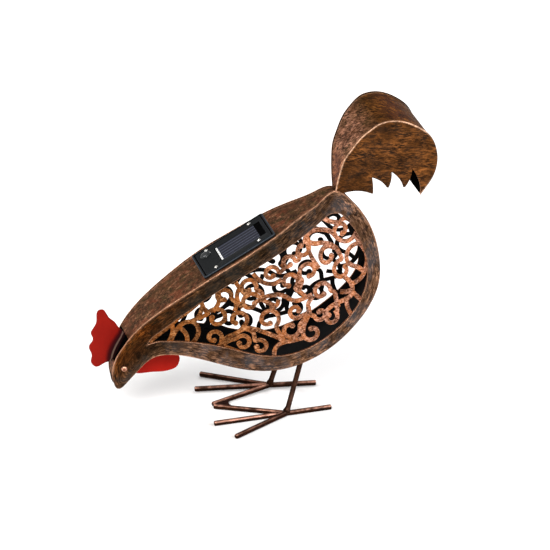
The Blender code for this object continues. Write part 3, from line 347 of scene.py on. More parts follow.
def softenEdges(piece, width, segments=2, angle=40, finishNumber=-1):
    bevel = piece.modifiers.new("soft edges", "BEVEL")
    bevel.width, bevel.segments, bevel.material = width, segments, finishNumber
    bevel.limit_method, bevel.angle_limit = "ANGLE", radians(angle)
    bevel.use_clamp_overlap = bevel.harden_normals = True


def smoothCurve(points, closed, count):
    # Natural cubic spline through the points, walked at even steps of chord length
    knots = np.array([*points, points[0]] if closed else points, float)
    place, step = lengthsAlong(knots), size(np.diff(knots, axis=0))
    slope = np.diff(knots, axis=0) / step[:, None]
    system = np.diag([1.0, *2 * (step[:-1] + step[1:]), 1.0])
    system[1:-1, :-2] += np.diag(step[:-1])
    system[1:-1, 2:] += np.diag(step[1:])
    right = np.zeros(knots.shape)
    right[1:-1] = 6 * np.diff(slope, axis=0)
    if closed:
        system[0, [0, 1, -2]] = 2 * (step[-1] + step[0]), step[0], step[-1]
        right[0] = 6 * (slope[0] - slope[-1])
        system[-1, [0, -1]] = 1, -1
    bend = np.linalg.solve(system, right)
    where = np.linspace(0, place[-1], count, endpoint=not closed)
    k = np.clip(np.searchsorted(place, where, side="right") - 1, 0, len(knots) - 2)
    h = step[k][:, None]
    a = (place[k + 1] - where)[:, None] / h
    b = 1 - a
    return a * knots[k] + b * knots[k + 1] + ((a**3 - a) * bend[k] + (b**3 - b) * bend[k + 1]) * h * h / 6


def lengthsAlong(path):
    return np.concatenate([[0.0], np.cumsum(size(np.diff(path, axis=0)))])


def pointsAt(path, lengths):
    # Points of an open path at given lengths along it
    return together(*(np.interp(lengths, lengthsAlong(path), line) for line in path.T))


def signedArea(loop):
    x, y = loop.T
    return 0.5 * np.sum(x * np.roll(y, -1) - y * np.roll(x, -1))


def movedIn(loop, distance):
    # A closed outline moved inwards: each point slides along the mitre of its two sides
    forward = np.roll(loop, -1, axis=0) - loop
    forward /= size(forward)[:, None]
    normal = together(-forward[:, 1], forward[:, 0]) * np.sign(signedArea(loop))
    mitre = normal + np.roll(normal, 1, axis=0)
    mitre /= np.sum(mitre * normal, axis=1)[:, None]
    return loop + mitre * distance


# The body's frame: a flat profile by shares of its length, bowed out by its half width

body = {
    "beak": (-0.144229, 0.0335),  # X and Z of the beak's tip
    "length": 0.2915, "pitch": 41.0,
    "beakWidth": 0.014, "width": 0.072,
    "places": (-0.06, 0.0, 0.03, 0.16, 0.33, 0.56, 0.73, 0.82, 0.94, 1.0, 1.06),
    "shares": (-0.02, 0.02, 0.09, 0.46, 0.77, 1.0, 0.88, 0.65, 0.25, 0.01, -0.22),
    "outline": (
        (997, -4), (937, 14), (855, 35), (771, 54), (690, 71), (611, 88), (535, 105), (456, 119), (375, 130),
        (296, 138), (225, 139), (158, 130), (104, 113), (68, 97), (43, 79), (21, 55), (7, 32), (-2, 12), (-1, 1),
        (8, -5), (20, -5), (42, 0), (86, 10), (135, 19), (170, 16), (213, -12), (257, -65), (312, -157), (370, -245),
        (444, -315), (541, -362), (661, -386), (764, -384), (837, -373), (887, -352), (940, -303), (977, -248),
        (1000, -195), (1012, -140), (1013, -85), (1010, -32)),
    "opening": (
        (186, 70), (203, 77), (250, 78), (309, 76), (393, 70), (474, 60), (551, 45), (664, 17), (784, -11),
        (889, -35), (935, -47), (955, -70), (959, -110), (953, -160), (937, -212), (906, -270), (860, -315),
        (790, -343), (700, -350), (620, -341), (548, -319), (487, -284), (425, -217), (374, -134), (330, -68),
        (285, -12), (235, 38), (200, 63)),
    "sheet": 0.001, "gap": 0.0003, "proud": 0.0008,
    "combWindow": (0.055, 0.15),
}
pitch = radians(body["pitch"])
bodyAxis, bodyAcross = np.array([[cos(pitch), sin(pitch)], [-sin(pitch), cos(pitch)]])
beak = np.array(body["beak"])
widthCurve = smoothCurve(together(body["places"], body["shares"]), False, 600)


def toProfile(shares):
    # Thousandths of the body's length, along and across it, to X and Z
    shares = np.array(shares) / 1000
    return beak + body["length"] * (shares[:, :1] * bodyAxis + shares[:, 1:] * bodyAcross)


def bodySide(profile, depth):
    # Half width: beak's half + share of the growth, less a depth square to the plate
    def half(along):
        return (body["beakWidth"] + (body["width"] - body["beakWidth"]) * np.interp(along, *widthCurve.T)) / 2
    along = (profile - beak) @ bodyAxis / body["length"]
    slope = (half(along + 0.01) - half(along - 0.01)) / (0.02 * body["length"])
    return half(along) - depth * np.sqrt(1 + slope**2)


def toSide(profile, half, hand):
    return together(profile[..., 0], hand * half, profile[..., 1])


bodyLoop = toProfile(smoothCurve(body["outline"], True, 1200))
openingLoop = toProfile(smoothCurve(body["opening"], True, 900))[::-1]


# Finishes of the brushed plates

blackInside = dict(paint=(0.004, 0.004, 0.004), deeper=(0.007, 0.006, 0.006), cloudSize=0.03, seed=4.0,
                   roughness=0.45, gleam=0.06, grain=0.0009, bump=0.05)
insideBlack = paintFinish("black powder coat inside", blackInside)

rimLook = dict(
    copperLook, along="surface", dark=(0.008, 0.005, 0.004), brown=(0.08, 0.038, 0.018),
    # The blue-grey tint patches stand for patina and for a painted sheen reflecting the sky
    copper=(0.74, 0.37, 0.21), edge=(0.6, 0.31, 0.19), tints=(((0.05, 0.049, 0.053), 0.016, 0.46),),
    casts=(((0.26, 0.27, 0.225), (-0.656, 0.0, 0.755), 0.1, 0.135),  # darker on the back's side
           ((1.9, 1.05, 0.4), (-0.8, 0.0, 0.6), 0.136, 0.156)),  # rusty along the head
    cloudSize=0.008, density=520.0, metallic=0.72, roughness=0.36, seed=1.0, rubbedNear=0.012, rubbedFar=0.45)
edgeLook = dict(
    copperLook, dark=(0.06, 0.028, 0.014), brown=(0.3, 0.13, 0.065), copper=(0.74, 0.4, 0.25),
    casts=(((0.22, 0.18, 0.14), (0.0, 0.0, 1.0), 0.0555, 0.045),),  # dark round the beak
    cloudSize=0.005, density=500.0, stretch=1.0, cover=0.5, softness=0.15, areaSize=0.02, areaCover=0.6,
    metallic=0.7, roughness=0.32, bump=0.1, seed=2.0)
rimCopper = copperFinish("brushed copper on the side plates", rimLook)
edgeCopper = copperFinish("rubbed copper on cut edges", edgeLook)


# Side plates: a ring between the outline and the opening, ruled across

plates = {
    "rowsAcross": 16, "stationsAround": 760, "softEdge": 0.00022, "wearAndPaintedLightWidth": 0.0006,
    # Places on the outline and on the opening that face each other
    "facing": (
        ((997, -4), (935, -47)), ((690, 71), (664, 17)), ((456, 119), (450, 63)), ((225, 139), (225, 78)),
        ((68, 97), (190, 74.5)), ((-1, 1), (186, 70)), ((135, 19), (192, 66)), ((235, -37), (260, 14)),
        ((340, -203), (374, -134)), ((444, -315), (470, -268)), ((661, -386), (660, -347)),
        ((837, -373), (815, -335)), ((940, -303), (906, -270)), ((1012, -140), (957, -135))),
}


def matchedRings(outer, inner, facing, count):
    # Walk both closed outlines together: between facing places each advances evenly
    ends, steps = [], np.arange(len(facing) + 1)
    for number, loop in enumerate((outer, inner)):
        places = toProfile([pair[number] for pair in facing])
        nearest = np.argmin(size(loop[None] - places[:, None]), axis=1)
        closed = np.roll(loop, -nearest[0], axis=0)
        closed = np.vstack([closed, closed[:1]])
        marks = np.append((nearest - nearest[0]) % len(loop), len(loop))
        ends.append((closed, lengthsAlong(closed)[marks]))
    pace = np.interp(np.linspace(0, ends[0][1][-1], count, endpoint=False), ends[0][1], steps)
    return [pointsAt(closed, np.interp(pace, steps, marks)) for closed, marks in ends]


def buildSidePlates(p):
    outer, inner = matchedRings(bodyLoop, openingLoop, p["facing"], p["stationsAround"])
    share = np.linspace(0, 1, p["rowsAcross"] + 1)[:, None, None]
    flat = outer * (1 - share) + inner * share  # rows from the outline to the opening
    rows, count = flat.shape[:2]
    reach = size(flat - outer)
    toEdge = np.minimum(reach, size(flat - inner) * 2.2 + 0.0006)
    # Rubbed copper along the edges, with painted light: bright only along the back's upper edge and darker near the
    # bottom
    wearAndPaintedLight = np.exp(-toEdge / p["wearAndPaintedLightWidth"]) * np.clip((flat[..., 1] - 0.045) / 0.012, 0.1, 1)
    upper = flat[..., 1] * 0.755 - flat[..., 0] * 0.656  # only the back's edge is rubbed bright, and there it is partly a painted highlight
    wearAndPaintedLight *= np.clip((upper - 0.078) / 0.03, 0.12, 1)
    uv = together(lengthsAlong(outer), reach)
    band = np.arange(2 * rows).repeat(count)
    finishOf = np.where(band < rows - 1, 0, np.where((band >= rows) & (band < 2 * rows - 1), 1, 2))
    for hand, word in hands:
        shells = [toSide(flat, bodySide(flat, depth), hand) for depth in (0, body["sheet"])]
        faces = gridFaces(2 * rows, count, True, True)[:, ::-hand]
        plate = addPiece(f"{word}SidePlate", thereAndBack(*shells), faces, (rimCopper, insideBlack, edgeCopper),
                         [f"{word}_side_plate"], finishOf, thereAndBack(uv), thereAndBack(wearAndPaintedLight))
        softenEdges(plate, p["softEdge"], finishNumber=2)


buildSidePlates(plates)
print("side plates cut and bowed")


# Scroll panels: flat ribbons with curled ends, joined into one cut sheet behind the rim
# Each stroke: points its ribbon passes, then its curl's middle, radius, first angle and turn,
# in thousandths of the body's length and degrees

scrolls = {
    "ribbon": 0.0043, "lap": 0.004, "shown": 0.0002,
    "closing": 0.56, "ballEnd": 1.3, "curlStep": 13.0, "softEdge": 0.00028,
    "strokes": (
        (((806, -44), (813, -34), (834, -30), (856, -39), (878, -60), (893, -92), (894, -128), (910, -160),
        (933, -168), (958, -166)), None),
        (((893, -96), (895, -114)), ((921, -116), 27, 178, -290)),
        (((954, -163), (940, -182), (934, -211), (929, -239), (915, -262), (894, -277), (866, -288), (840, -285),
        (815, -270)), None),
        (((935, -200), (910, -186), (883, -188), (866, -204), (864, -230), (874, -252), (878, -284)), None),
        (((813, -40), (829, -73), (850, -96), (866, -134), (862, -172)), ((832, -213), 33, 49, 300)),
        (((864, -162), (865, -136)), ((829, -139), 33, 12, 300)),
        (((821, -32), (820, -46)), ((786, -48), 27, 349, -280)),
        (((816, -44), (798, -70), (788, -100), (781, -143)), None),
        (((676, -154), (694, -138)), ((747, -123), 34, 186, -310)),
        (((736, -296), (749, -269), (760, -242)), ((732, -209), 32, 319, 310)),
        (((820, -236), (822, -268), (810, -292), (791, -301), (770, -295), (746, -283), (720, -274),
        (684, -276)), None),
        (((806, -284), (805, -318), (808, -350)), None),
        (((779, -292), (761, -314), (746, -360)), None),
        (((776, -262), (793, -281), (806, -290)), None),
        (((736, -280), (719, -300)), ((693, -302), 25, 9, -280)),
        (((680, -182), (680, -154)), ((678, -98), 31, 274, 300)),
        (((549, -66), (579, -74), (612, -94), (633, -125), (644, -159), (669, -179), (703, -192)), None),
        (((525, -243), (532, -210)), ((539, -146), 37, 279, 330)),
        (((568, -118), (592, -128), (611, -117)), None),
        (((644, -226), (616, -238)), ((568, -229), 33, 334, -310)),
        (((702, -200), (669, -208), (649, -233), (606, -256)), ((611, -292), 31, 119, 300)),
        (((580, -286), (540, -262), (510, -244), (482, -246), (458, -274)), None),
        (((650, -230), (634, -224)), ((623, -194), 25, 269, -300)),
        (((194, 72), (249, 72), (289, 72), (323, 74), (358, 71), (410, 72)), None),
        (((293, 72), (280, 51), (240, 26)), None),
        (((248, 24), (297, 46), (332, 45), (349, 29), (348, 0), (329, -21), (294, -33)), None),
        (((304, 42), (304, 13), (282, -23)), None),
        (((344, 36), (370, 28)), ((417, -15), 36, 109, -340)),
        (((332, -99), (366, -99)), ((363, -66), 26, 309, 280)),
        (((352, -112), (390, -96), (430, -106)), ((464, -71), 33, 274, 285)),
        (((430, -106), (465, -117), (487, -148), (503, -183), (516, -215), (525, -246)), None),
        (((590, -130), (576, -94)), ((537, -54), 33, 350, 310)),
        (((574, -80), (584, -44)), ((566, -5), 30, 299, 310)),
        (((477, -39), (502, -12)), ((484, 30), 28, 309, 300)),
        (((504, -49), (509, -19), (524, 2), (540, 12)), None),
        (((366, -110), (396, -112)), ((420, -149), 28, 99, -310)),
        (((460, -116), (468, -150)), ((452, -202), 26, 79, -300)),
        (((760, -42), (754, -66)), ((721, -45), 24, 329, 300)),
        (((700, -30), (692, -50)), ((654, -29), 26, 329, 300)),
        (((612, 18), (610, -9), (618, -40), (640, -64), (668, -72)), None),
        (((666, -216), (654, -250)), ((676, -266), 22, 149, 290)),
        (((906, -26), (914, -60), (930, -88)), None),
        (((934, -94), (954, -96), (966, -122)), None),
        (((366, -116), (396, -186)), None),
        (((410, 52), (387, 36), (358, 29)), None),
        (((419, 69), (411, 47), (406, 23)), None),
        (((486, 58), (471, 34), (449, 19), (423, 12)), None),
        (((549, 40), (544, 9), (542, -17)), None),
    ),
}


def strokePath(stem, curl, s):
    # Middle line: a spline through the stem, then a spiral whose radius closes with its turn
    stem = toProfile(stem)
    if curl is None:
        return pointsEvery(smoothCurve(stem, False, 240), 0.0011)
    middle, radius, first, turn = curl
    share = np.linspace(0, 1, int(abs(turn) / s["curlStep"]) + 2)
    angle = np.radians(first + turn * share)
    reach = (radius * (1 - s["closing"] * share**1.3))[:, None]
    spiral = toProfile(middle + together(np.cos(angle), np.sin(angle)) * reach)
    lead = smoothCurve(np.vstack([stem, spiral[:2]]), False, 240)
    arrive = int(np.argmin(size(lead - spiral[0])))
    return np.vstack([pointsEvery(lead[:arrive + 1], 0.0011)[:-1], spiral])


def pointsEvery(path, step):
    whole = lengthsAlong(path)[-1]
    return pointsAt(path, np.linspace(0, whole, max(3, int(whole / step) + 2)))


def ribbonQuads(path, width):
    # One four-sided piece per step, its corners put in order round their middle
    forward = np.gradient(path, axis=0)
    forward /= size(forward)[:, None]
    side = together(-forward[:, 1], forward[:, 0]) * width / 2
    left, right = path + side, path - side
    quads = np.stack([right[:-1], right[1:], left[1:], left[:-1]], axis=1)
    away = quads - quads.mean(axis=1, keepdims=True)
    order = np.argsort(np.arctan2(away[..., 1], away[..., 0]), axis=1)
    return np.take_along_axis(quads, order[..., None], axis=1)


def cutFlat(keep, drop=(), lines=()):
    # Triangles of the flat sheet that the outlines in keep cover and those in drop don't
    rings = [loop if signedArea(loop) > 0 else loop[::-1] for loop in (*keep, *drop)]
    starts = np.cumsum([0, *map(len, rings)]).tolist()
    rounds = [list(range(a, b)) for a, b in zip(starts, starts[1:])]
    edges = [(starts[-1] + 2 * k, starts[-1] + 2 * k + 1) for k in range(len(lines))]
    points = [Vector(p) for p in np.vstack([*rings, *lines]).tolist()]
    found = delaunay_2d_cdt(points, edges, rounds, 0, 1e-6, True)
    kept = [face for face, sources in zip(found[2], found[5]) if sources and all(n < len(keep) for n in sources)]
    return np.array([tuple(p) for p in found[0]]), np.array(kept)


def largestBit(flat):
    # Faces joined to the largest bit: face numbers spread their lowest label over shared edges
    points, faces = flat
    edges = np.sort(together(faces, np.roll(faces, -1, axis=1)).reshape(-1, 2), axis=1)
    owner = np.repeat(np.arange(len(faces)), 3)
    order = np.lexsort((edges[:, 1], edges[:, 0]))
    same = np.all(edges[order][1:] == edges[order][:-1], axis=1)
    a, b = owner[order][:-1][same], owner[order][1:][same]
    fresh, label = np.arange(len(faces)), None
    while not np.array_equal(fresh, label):
        label = fresh
        low = np.minimum(label[a], label[b])
        fresh = label.copy()
        np.minimum.at(fresh, a, low)
        np.minimum.at(fresh, b, low)
        fresh = fresh[fresh]
    return points, faces[label == np.bincount(label).argmax()]


def plateFrom(flat, place, hand):
    # Front, back and walls of a cut sheet: place(profile, depth) gives each point's place
    used, index = np.unique(flat[1], return_inverse=True)
    points, faces = flat[0][used], index.reshape(flat[1].shape)
    count = len(points)
    a, b = together(faces, np.roll(faces, -1, axis=1)).reshape(-1, 2).T
    rim = ~np.isin(a * count + b, b * count + a)
    walls = together(b, a, a + count, b + count)[rim]
    parts = [g[:, ::-hand] for g in (faces, faces[:, ::-1] + count, walls)]
    solid = np.vstack([place(points, 0), place(points, body["sheet"])])
    return solid, [face for g in parts for face in g.tolist()], np.repeat([0, 1, 2], [len(g) for g in parts])


def buildScrollPanels(s):
    shapes = []
    for stem, curl in s["strokes"]:
        path = strokePath(stem, curl, s)
        shapes += list(ribbonQuads(path, s["ribbon"]))
        if curl:
            turn = turns(16)
            shapes.append(path[-1] + together(np.cos(turn), np.sin(turn)) * s["ribbon"] * s["ballEnd"] / 2)
    ring = openingLoop[::3]
    outer, inner = movedIn(ring, -s["lap"]), movedIn(ring, s["shown"])
    border = np.stack([inner, np.roll(inner, -1, axis=0), np.roll(outer, -1, axis=0), outer], axis=1)
    flat = largestBit(cutFlat([*shapes, *border]))
    for hand, word in hands:
        def place(profile, depth):
            return toSide(profile, bodySide(profile, body["sheet"] + body["gap"] + depth), hand)
        points, faces, finishOf = plateFrom(flat, place, hand)
        panel = addPiece(f"{word}ScrollPanel", points, faces, (scrollCopper, insideBlack, scrollEdge),
                         [f"{word}_filigree"], finishOf)
        softenEdges(panel, s["softEdge"], finishNumber=2)


scrollLook = dict(
    copperLook, dark=(0.018, 0.007, 0.004), brown=(0.15, 0.045, 0.018), copper=(1.0, 0.5, 0.34),
    tints=(((0.4, 0.125, 0.034), 0.008, 0.48), ((0.045, 0.017, 0.009), 0.004, 0.43)),
    casts=(((0.62, 0.55, 0.3), (1.0, 0.0, 0.0), 0.055, -0.035),),  # browner towards the head
    cloudSize=0.004, stretch=1.6, cover=0.45, areaSize=0.01, roughness=0.38, bump=0.45, seed=6.0)
scrollCopper = copperFinish("bright copper on the scrolls", scrollLook)
scrollEdge = copperFinish("rubbed copper on the scrolls' edges", dict(
    scrollLook, dark=(0.035, 0.015, 0.01), brown=(0.26, 0.1, 0.05), seed=7.0))
buildScrollPanels(scrolls)
print("scroll panels cut and bowed")


# Strips of sheet between the side plates

def stripSheet(path, halves, shares):
    # Across × along grid: each point of the path spreads to both sides by its share of the half width
    return (together(path[:, 0], shares * halves, path[:, 1]), together(lengthsAlong(path), shares * halves),
            (1 - abs(shares)) * halves)


def addWall(piece, thickness, width):
    # The sheet's thickness goes inwards: its inner face and its rims take their own finishes
    wall = piece.modifiers.new("sheet thickness", "SOLIDIFY")
    wall.thickness, wall.offset, wall.use_even_offset = thickness, -1, True
    wall.material_offset, wall.material_offset_rim = 1, 2
    softenEdges(piece, width)


bandLook = dict(
    copperLook, along="surface", dark=(0.009, 0.007, 0.004), brown=(0.08, 0.036, 0.015),
    copper=(0.66, 0.32, 0.18), edge=(0.5, 0.25, 0.15),
    tints=(((0.2, 0.055, 0.026), 0.009, 0.44), ((0.036, 0.034, 0.01), 0.01, 0.44)),
    cloudSize=0.013, density=500.0, stretch=2.2, softness=0.04, areaSize=0.016, areaCover=0.48, seed=11.0)
bandCopper = copperFinish("brushed copper on the back and belly", bandLook)

band = {
    "across": 22, "along": 900, "wearAndPaintedLightWidth": 0.0012, "softEdge": 0.00012,
    "hole": (0.0333, 0.0223),  # half length and half width let in for the solar unit's box
    "holeShare": 0.66,  # the part of the grid's half width that is let in
}
unit = {"middle": (-0.0244852, 0.170677), "tilt": 29.172}  # the solar unit's seat on the back
unitAlong = np.array([cos(radians(unit["tilt"])), sin(radians(unit["tilt"]))])
stripLoop = movedIn(bodyLoop, body["proud"])


def windowCut(path, ends):
    # Lengths along the path where it passes the comb window's ends, on the head's top
    above = (path - beak) @ bodyAcross > 0.05 * body["length"]
    near = np.where(above, (path - beak) @ bodyAxis / body["length"], 9.0)
    return [int(np.argmin(abs(near - end))) for end in ends]


windowFront, windowRear = windowCut(stripLoop, body["combWindow"])


def buildBodyBand(b):
    path = stripLoop[np.arange(windowFront, windowRear + len(stripLoop) + 1) % len(stripLoop)]
    whole = lengthsAlong(path)
    local = (path - np.array(unit["middle"])) @ unitAlong
    top = ((path - beak) @ bodyAcross > -0.03 * body["length"]) & (abs(local) < 0.06) & (path[:, 1] > 0.1)
    order = np.flatnonzero(top)[np.argsort(local[top])]
    ends = np.interp((-b["hole"][0], b["hole"][0]), local[order], whole[order])
    stations = np.unique(np.concatenate([np.linspace(0, whole[-1], b["along"]), ends]))
    line = pointsAt(path, stations)
    halves = bodySide(line, body["sheet"] + body["gap"])
    inner = b["holeShare"]
    nominal = np.unique(np.concatenate([np.linspace(-1, 1, b["across"] + 1), [-inner, inner]]))[:, None]
    edge = np.clip(b["hole"][1] / halves, 0, 0.72)
    shares = np.where(abs(nominal) <= inner, nominal / inner * edge,
                      np.sign(nominal) * (edge + (abs(nominal) - inner) / (1 - inner) * (1 - edge)))
    points, uv, toEdge = stripSheet(line, halves, shares)
    faces = gridFaces(*shares.shape)
    along, across = (stations[1:] + stations[:-1]) / 2, (nominal[1:] + nominal[:-1]) / 2
    hole = (abs(across) < inner) & (along > min(ends)) & (along < max(ends))
    piece = addPiece("bodyBand", points, faces[~hole.ravel(), ::-1], (bandCopper, insideBlack, edgeCopper),
                     ["body_band"], None, uv, np.exp(-toEdge / b["wearAndPaintedLightWidth"]))
    addWall(piece, body["sheet"], b["softEdge"])


buildBodyBand(band)
print("body band bent round")


# Tail: two cut plates and the strip between them

tail = {
    "root": (0.0758736, 0.2238875), "length": 0.0955,
    "reach": 0.1, "width": 0.088, "rootWidth": 0.014, "spread": 60.0,
    "curve": (
        (8, -10), (12, 100), (28, 264), (61, 417), (104, 504), (192, 655), (287, 753), (384, 825), (485, 851),
        (557, 851), (692, 815), (798, 757), (907, 664), (977, 520), (1000, 401), (995, 269), (964, 148), (913, 37),
        (863, -65)),
    # From the rear: a notch's top, the next feather's point, and the bow of the edges in and out
    "feathers": (((750, 271), (700, 40), -0.085, 0.066),
                 ((546, 232), (535, 36), -0.085, 0.053),
                 ((356, 165), (388, -43), -0.095, 0.02)),
    "point": 19, "foot": (75, -50), "footBow": -0.125, "bends": 60, "softEdge": 0.0002,
    "wearAndPaintedLightWidth": 0.0012,
}
tailAxis = np.array([cos(radians(tail["spread"])), sin(radians(tail["spread"]))])
tailRoot = np.array(tail["root"])


def tailSide(profile, depth):
    # Half width: root's half + half the growth × share × (1.5 − 0.5 share)
    share = (profile - tailRoot) @ tailAxis / tail["reach"]
    growth = (tail["width"] - tail["rootWidth"]) / 2
    slope = growth * (1.5 - share) / tail["reach"]
    return tail["rootWidth"] / 2 + growth * share * (1.5 - 0.5 * share) - depth * np.sqrt(1 + slope**2)


def bowed(start, end, bow, count=24):
    # From start to end on a parabola whose height is bow × the chord
    start, end = np.array(start), np.array(end)
    share = np.linspace(0, 1, count)[1:, None]
    aside = np.array([start[1] - end[1], end[0] - start[0]])
    return start + (end - start) * share + aside * 4 * bow * share * (1 - share)


def tailPoints(shares):
    # Thousandths of the tail's length, from its root, to X and Z
    return tailRoot + tail["length"] * np.array(shares) / 1000


def lowerEdge(t):
    edge, here = [], t["curve"][-1]
    for notch, point, bowIn, bowOut in t["feathers"]:
        edge += [bowed(here, notch, bowIn), bowed(notch, point, bowOut)]
        here = (point[0] - t["point"], point[1])
        edge.append([here])
    return tailPoints(np.vstack([*edge, bowed(here, t["foot"], t["footBow"])]))


tailLook = dict(
    copperLook, dark=(0.009, 0.005, 0.003), brown=(0.06, 0.021, 0.005), copper=(0.33, 0.115, 0.028),
    edge=(0.95, 0.58, 0.38), tints=(((0.016, 0.01, 0.007), 0.013, 0.45),),
    stretch=5.0, cover=0.44, softness=0.06, seed=21.0)
tailBandLook = dict(
    tailLook, along="surface", turn=(0, 0, 52), stretch=4.0, edge=(0.85, 0.48, 0.3), seed=25.0,
    dark=(0.012, 0.009, 0.005), brown=(0.095, 0.04, 0.014), copper=(0.9, 0.43, 0.28),
    cover=0.46, softness=0.04, gleam=0.08, tints=(((0.05, 0.04, 0.012), 0.02, 0.44),),
    casts=(((0.44, 0.36, 0.12), (1.0, 0.0, 0.0), 0.096, 0.114),  # olive over the top
           ((0.55, 0.45, 0.35), (0.0, 0.0, 1.0), 0.262, 0.235)))  # darker towards the root
# The same black coat as inside the body, made darker here as painted shade in the hollow tail
tailBlack = paintFinish("dull black inside the tail", dict(
    blackInside, paint=(0.0015, 0.0015, 0.0015), deeper=(0.003, 0.003, 0.003), roughness=0.8, gleam=0.0, seed=5.0))
tailCopper = copperFinish("brushed copper on the tail's sides", tailLook)
tailBandCopper = copperFinish("brushed copper over the tail", tailBandLook)


def buildTail(t):
    curve = tailPoints(smoothCurve(t["curve"], False, 420))
    outline = np.vstack([curve, lowerEdge(t)])
    aside = np.array([-tailAxis[1], tailAxis[0]]) * 0.2
    places = tailRoot + tailAxis * np.linspace(-0.3, 1.4, t["bends"])[:, None] * t["reach"]
    bends = np.stack([places - aside, places + aside], axis=1)
    clear = movedIn(bodyLoop[::2], -body["gap"])
    flat = largestBit(cutFlat([outline, movedIn(outline, 0.0006), movedIn(outline, 0.0016)], [clear], bends))
    for hand, word in hands:
        def place(profile, depth):
            return toSide(profile, tailSide(profile, depth), hand)
        points, faces, finishOf = plateFrom(flat, place, hand)
        # Rubbed copper along the upper curve only, fading towards the rear: partly edge wear, partly a painted
        # highlight
        toEdge = np.min(size(points[:, None, ::2] - curve[None, ::3]), axis=1)
        wearAndPaintedLight = np.clip(1.3 - toEdge / t["wearAndPaintedLightWidth"], 0, 1) * np.clip((0.168 - points[:, 0]) / 0.012, 0.05, 1)
        plate = addPiece(f"{word}TailPlate", points, faces, (tailCopper, tailBlack, edgeCopper),
                         [f"{word}_tail_plate"], finishOf, None, wearAndPaintedLight)
        softenEdges(plate, t["softEdge"], finishNumber=2)
    strip = movedIn(outline, body["proud"])[4:len(curve) - 3]
    lead = (strip[0] - strip[5]) / size(strip[0] - strip[5])
    strip = np.vstack([strip[0] + lead * np.linspace(0.006, 0.0003, 20)[:, None], strip])
    away = np.min(size(strip[:len(strip) // 2, None] - stripLoop), axis=1)
    seat = int(np.argmin(away))  # the strip starts just off the body's band
    strip = strip[seat + int(np.argmax(away[seat:] > 0.0005)):]
    points, uv, toEdge = stripSheet(strip, tailSide(strip, body["sheet"] + body["gap"]),
                                    np.linspace(-1, 1, 29)[:, None] * np.ones(len(strip)))
    piece = addPiece("tailBand", points, gridFaces(*points.shape[:2]), (tailBandCopper, tailBlack, edgeCopper),
                     ["tail_band"], None, uv, np.exp(-toEdge / t["wearAndPaintedLightWidth"]) * 0.4)
    addWall(piece, body["sheet"], 0.0001)


buildTail(tail)
print("tail cut and bent")


# Comb and wattle: painted plates on the middle plane, ruled from their seat to their outline

def slab(front, back):
    # Two grids joined all round: rows closed over front and back, the end columns capped
    rows, columns = front.shape[:2]
    firsts, backs = np.arange(rows - 1) * columns, (2 * rows - 1 - np.arange(rows - 1)) * columns
    lasts, lastBacks = firsts + columns - 1, backs + columns - 1
    return thereAndBack(front, back), np.vstack([
        gridFaces(2 * rows, columns, True), together(firsts, firsts + columns, backs - columns, backs),
        together(lasts + columns, lasts, lastBacks, lastBacks - columns)])


head = {
    "comb": (
        (149, 142), (149, 160), (152, 180), (149, 205), (151, 222), (155, 241), (141, 253), (124, 244), (107, 226),
        (84, 217), (67, 209), (61, 193), (53, 185), (36, 181), (26, 172), (21, 157), (13, 144), (1, 135), (-5, 122),
        (0, 104), (14, 98), (30, 94), (46, 84)),
    "wattle": (
        (70, 6), (74, -6), (114, -46), (145, -75), (170, -92), (190, -98), (208, -92), (221, -80), (225, -66),
        (222, -40)),
    "rows": 16, "softEdge": 0.00035, "fade": 0.016,
    "eye": (67, 50), "eyeWidth": 0.0062, "eyeHeight": 0.0026,
}
redLook = dict(
    paint=(0.2, 0.006, 0.0034), deeper=(0.17, 0.0045, 0.0028), sheen=(1.0, 0.4, 0.3),
    # The paint's colour from the rim (0) to the seat in the head (1): painted shade darkening towards the seat, the
    # bare grey-brown margin, then painted shade inside the comb window
    fade=((0.0, (1.0, 1.0, 1.0)), (0.28, (1.0, 1.0, 1.0)), (0.5, (0.22, 0.3, 0.9)), (0.68, (0.1, 0.6, 1.6)),
          (0.72, (0.6, 13.0, 17.0)), (0.8, (0.8, 17.0, 22.0)), (0.83, (0.05, 0.5, 1.0))),
    cloudSize=0.02, seed=31.0, roughness=0.5, grain=0.0007, bump=0.08)
combRed = paintFinish("red paint on the comb", redLook)
# The comb's red made brighter to offset the shade under the head, a painted light, and darker at the seat as painted
# shade
wattleRed = paintFinish("red paint on the wattle, brightened against shade", dict(
    redLook, paint=(0.34, 0.0095, 0.005), deeper=(0.29, 0.007, 0.004), seed=34.0,
    fade=((0.0, (1.0, 1.0, 1.0)), (0.8, (1.0, 1.0, 1.0)), (1.0, (0.55, 0.5, 0.5)))))
beneath = movedIn(bodyLoop, body["proud"] - body["gap"])  # the face that the wattle and legs stop at


def addFlatPlate(name, seat, outline, finish, nodes):
    # point = seat + share × (outline − seat), share from 0 at the head to 1 at the rim
    share = np.linspace(0, 1, head["rows"] + 1)[:, None, None]
    flat = seat * (1 - share) + outline * share
    points, faces = slab(*(together(flat[..., 0], y, flat[..., 1]) for y in (-body["sheet"] / 2, body["sheet"] / 2)))
    # Share of the way to the seat, 1 at the seat: the fades turn it into painted shade near the seat
    wearAndPaintedLight = np.clip(1 - size(flat - seat) / head["fade"], 0, 1)
    piece = addPiece(name, points, faces, (finish,), nodes, None, None, thereAndBack(wearAndPaintedLight))
    softenEdges(piece, head["softEdge"], 3, 50)


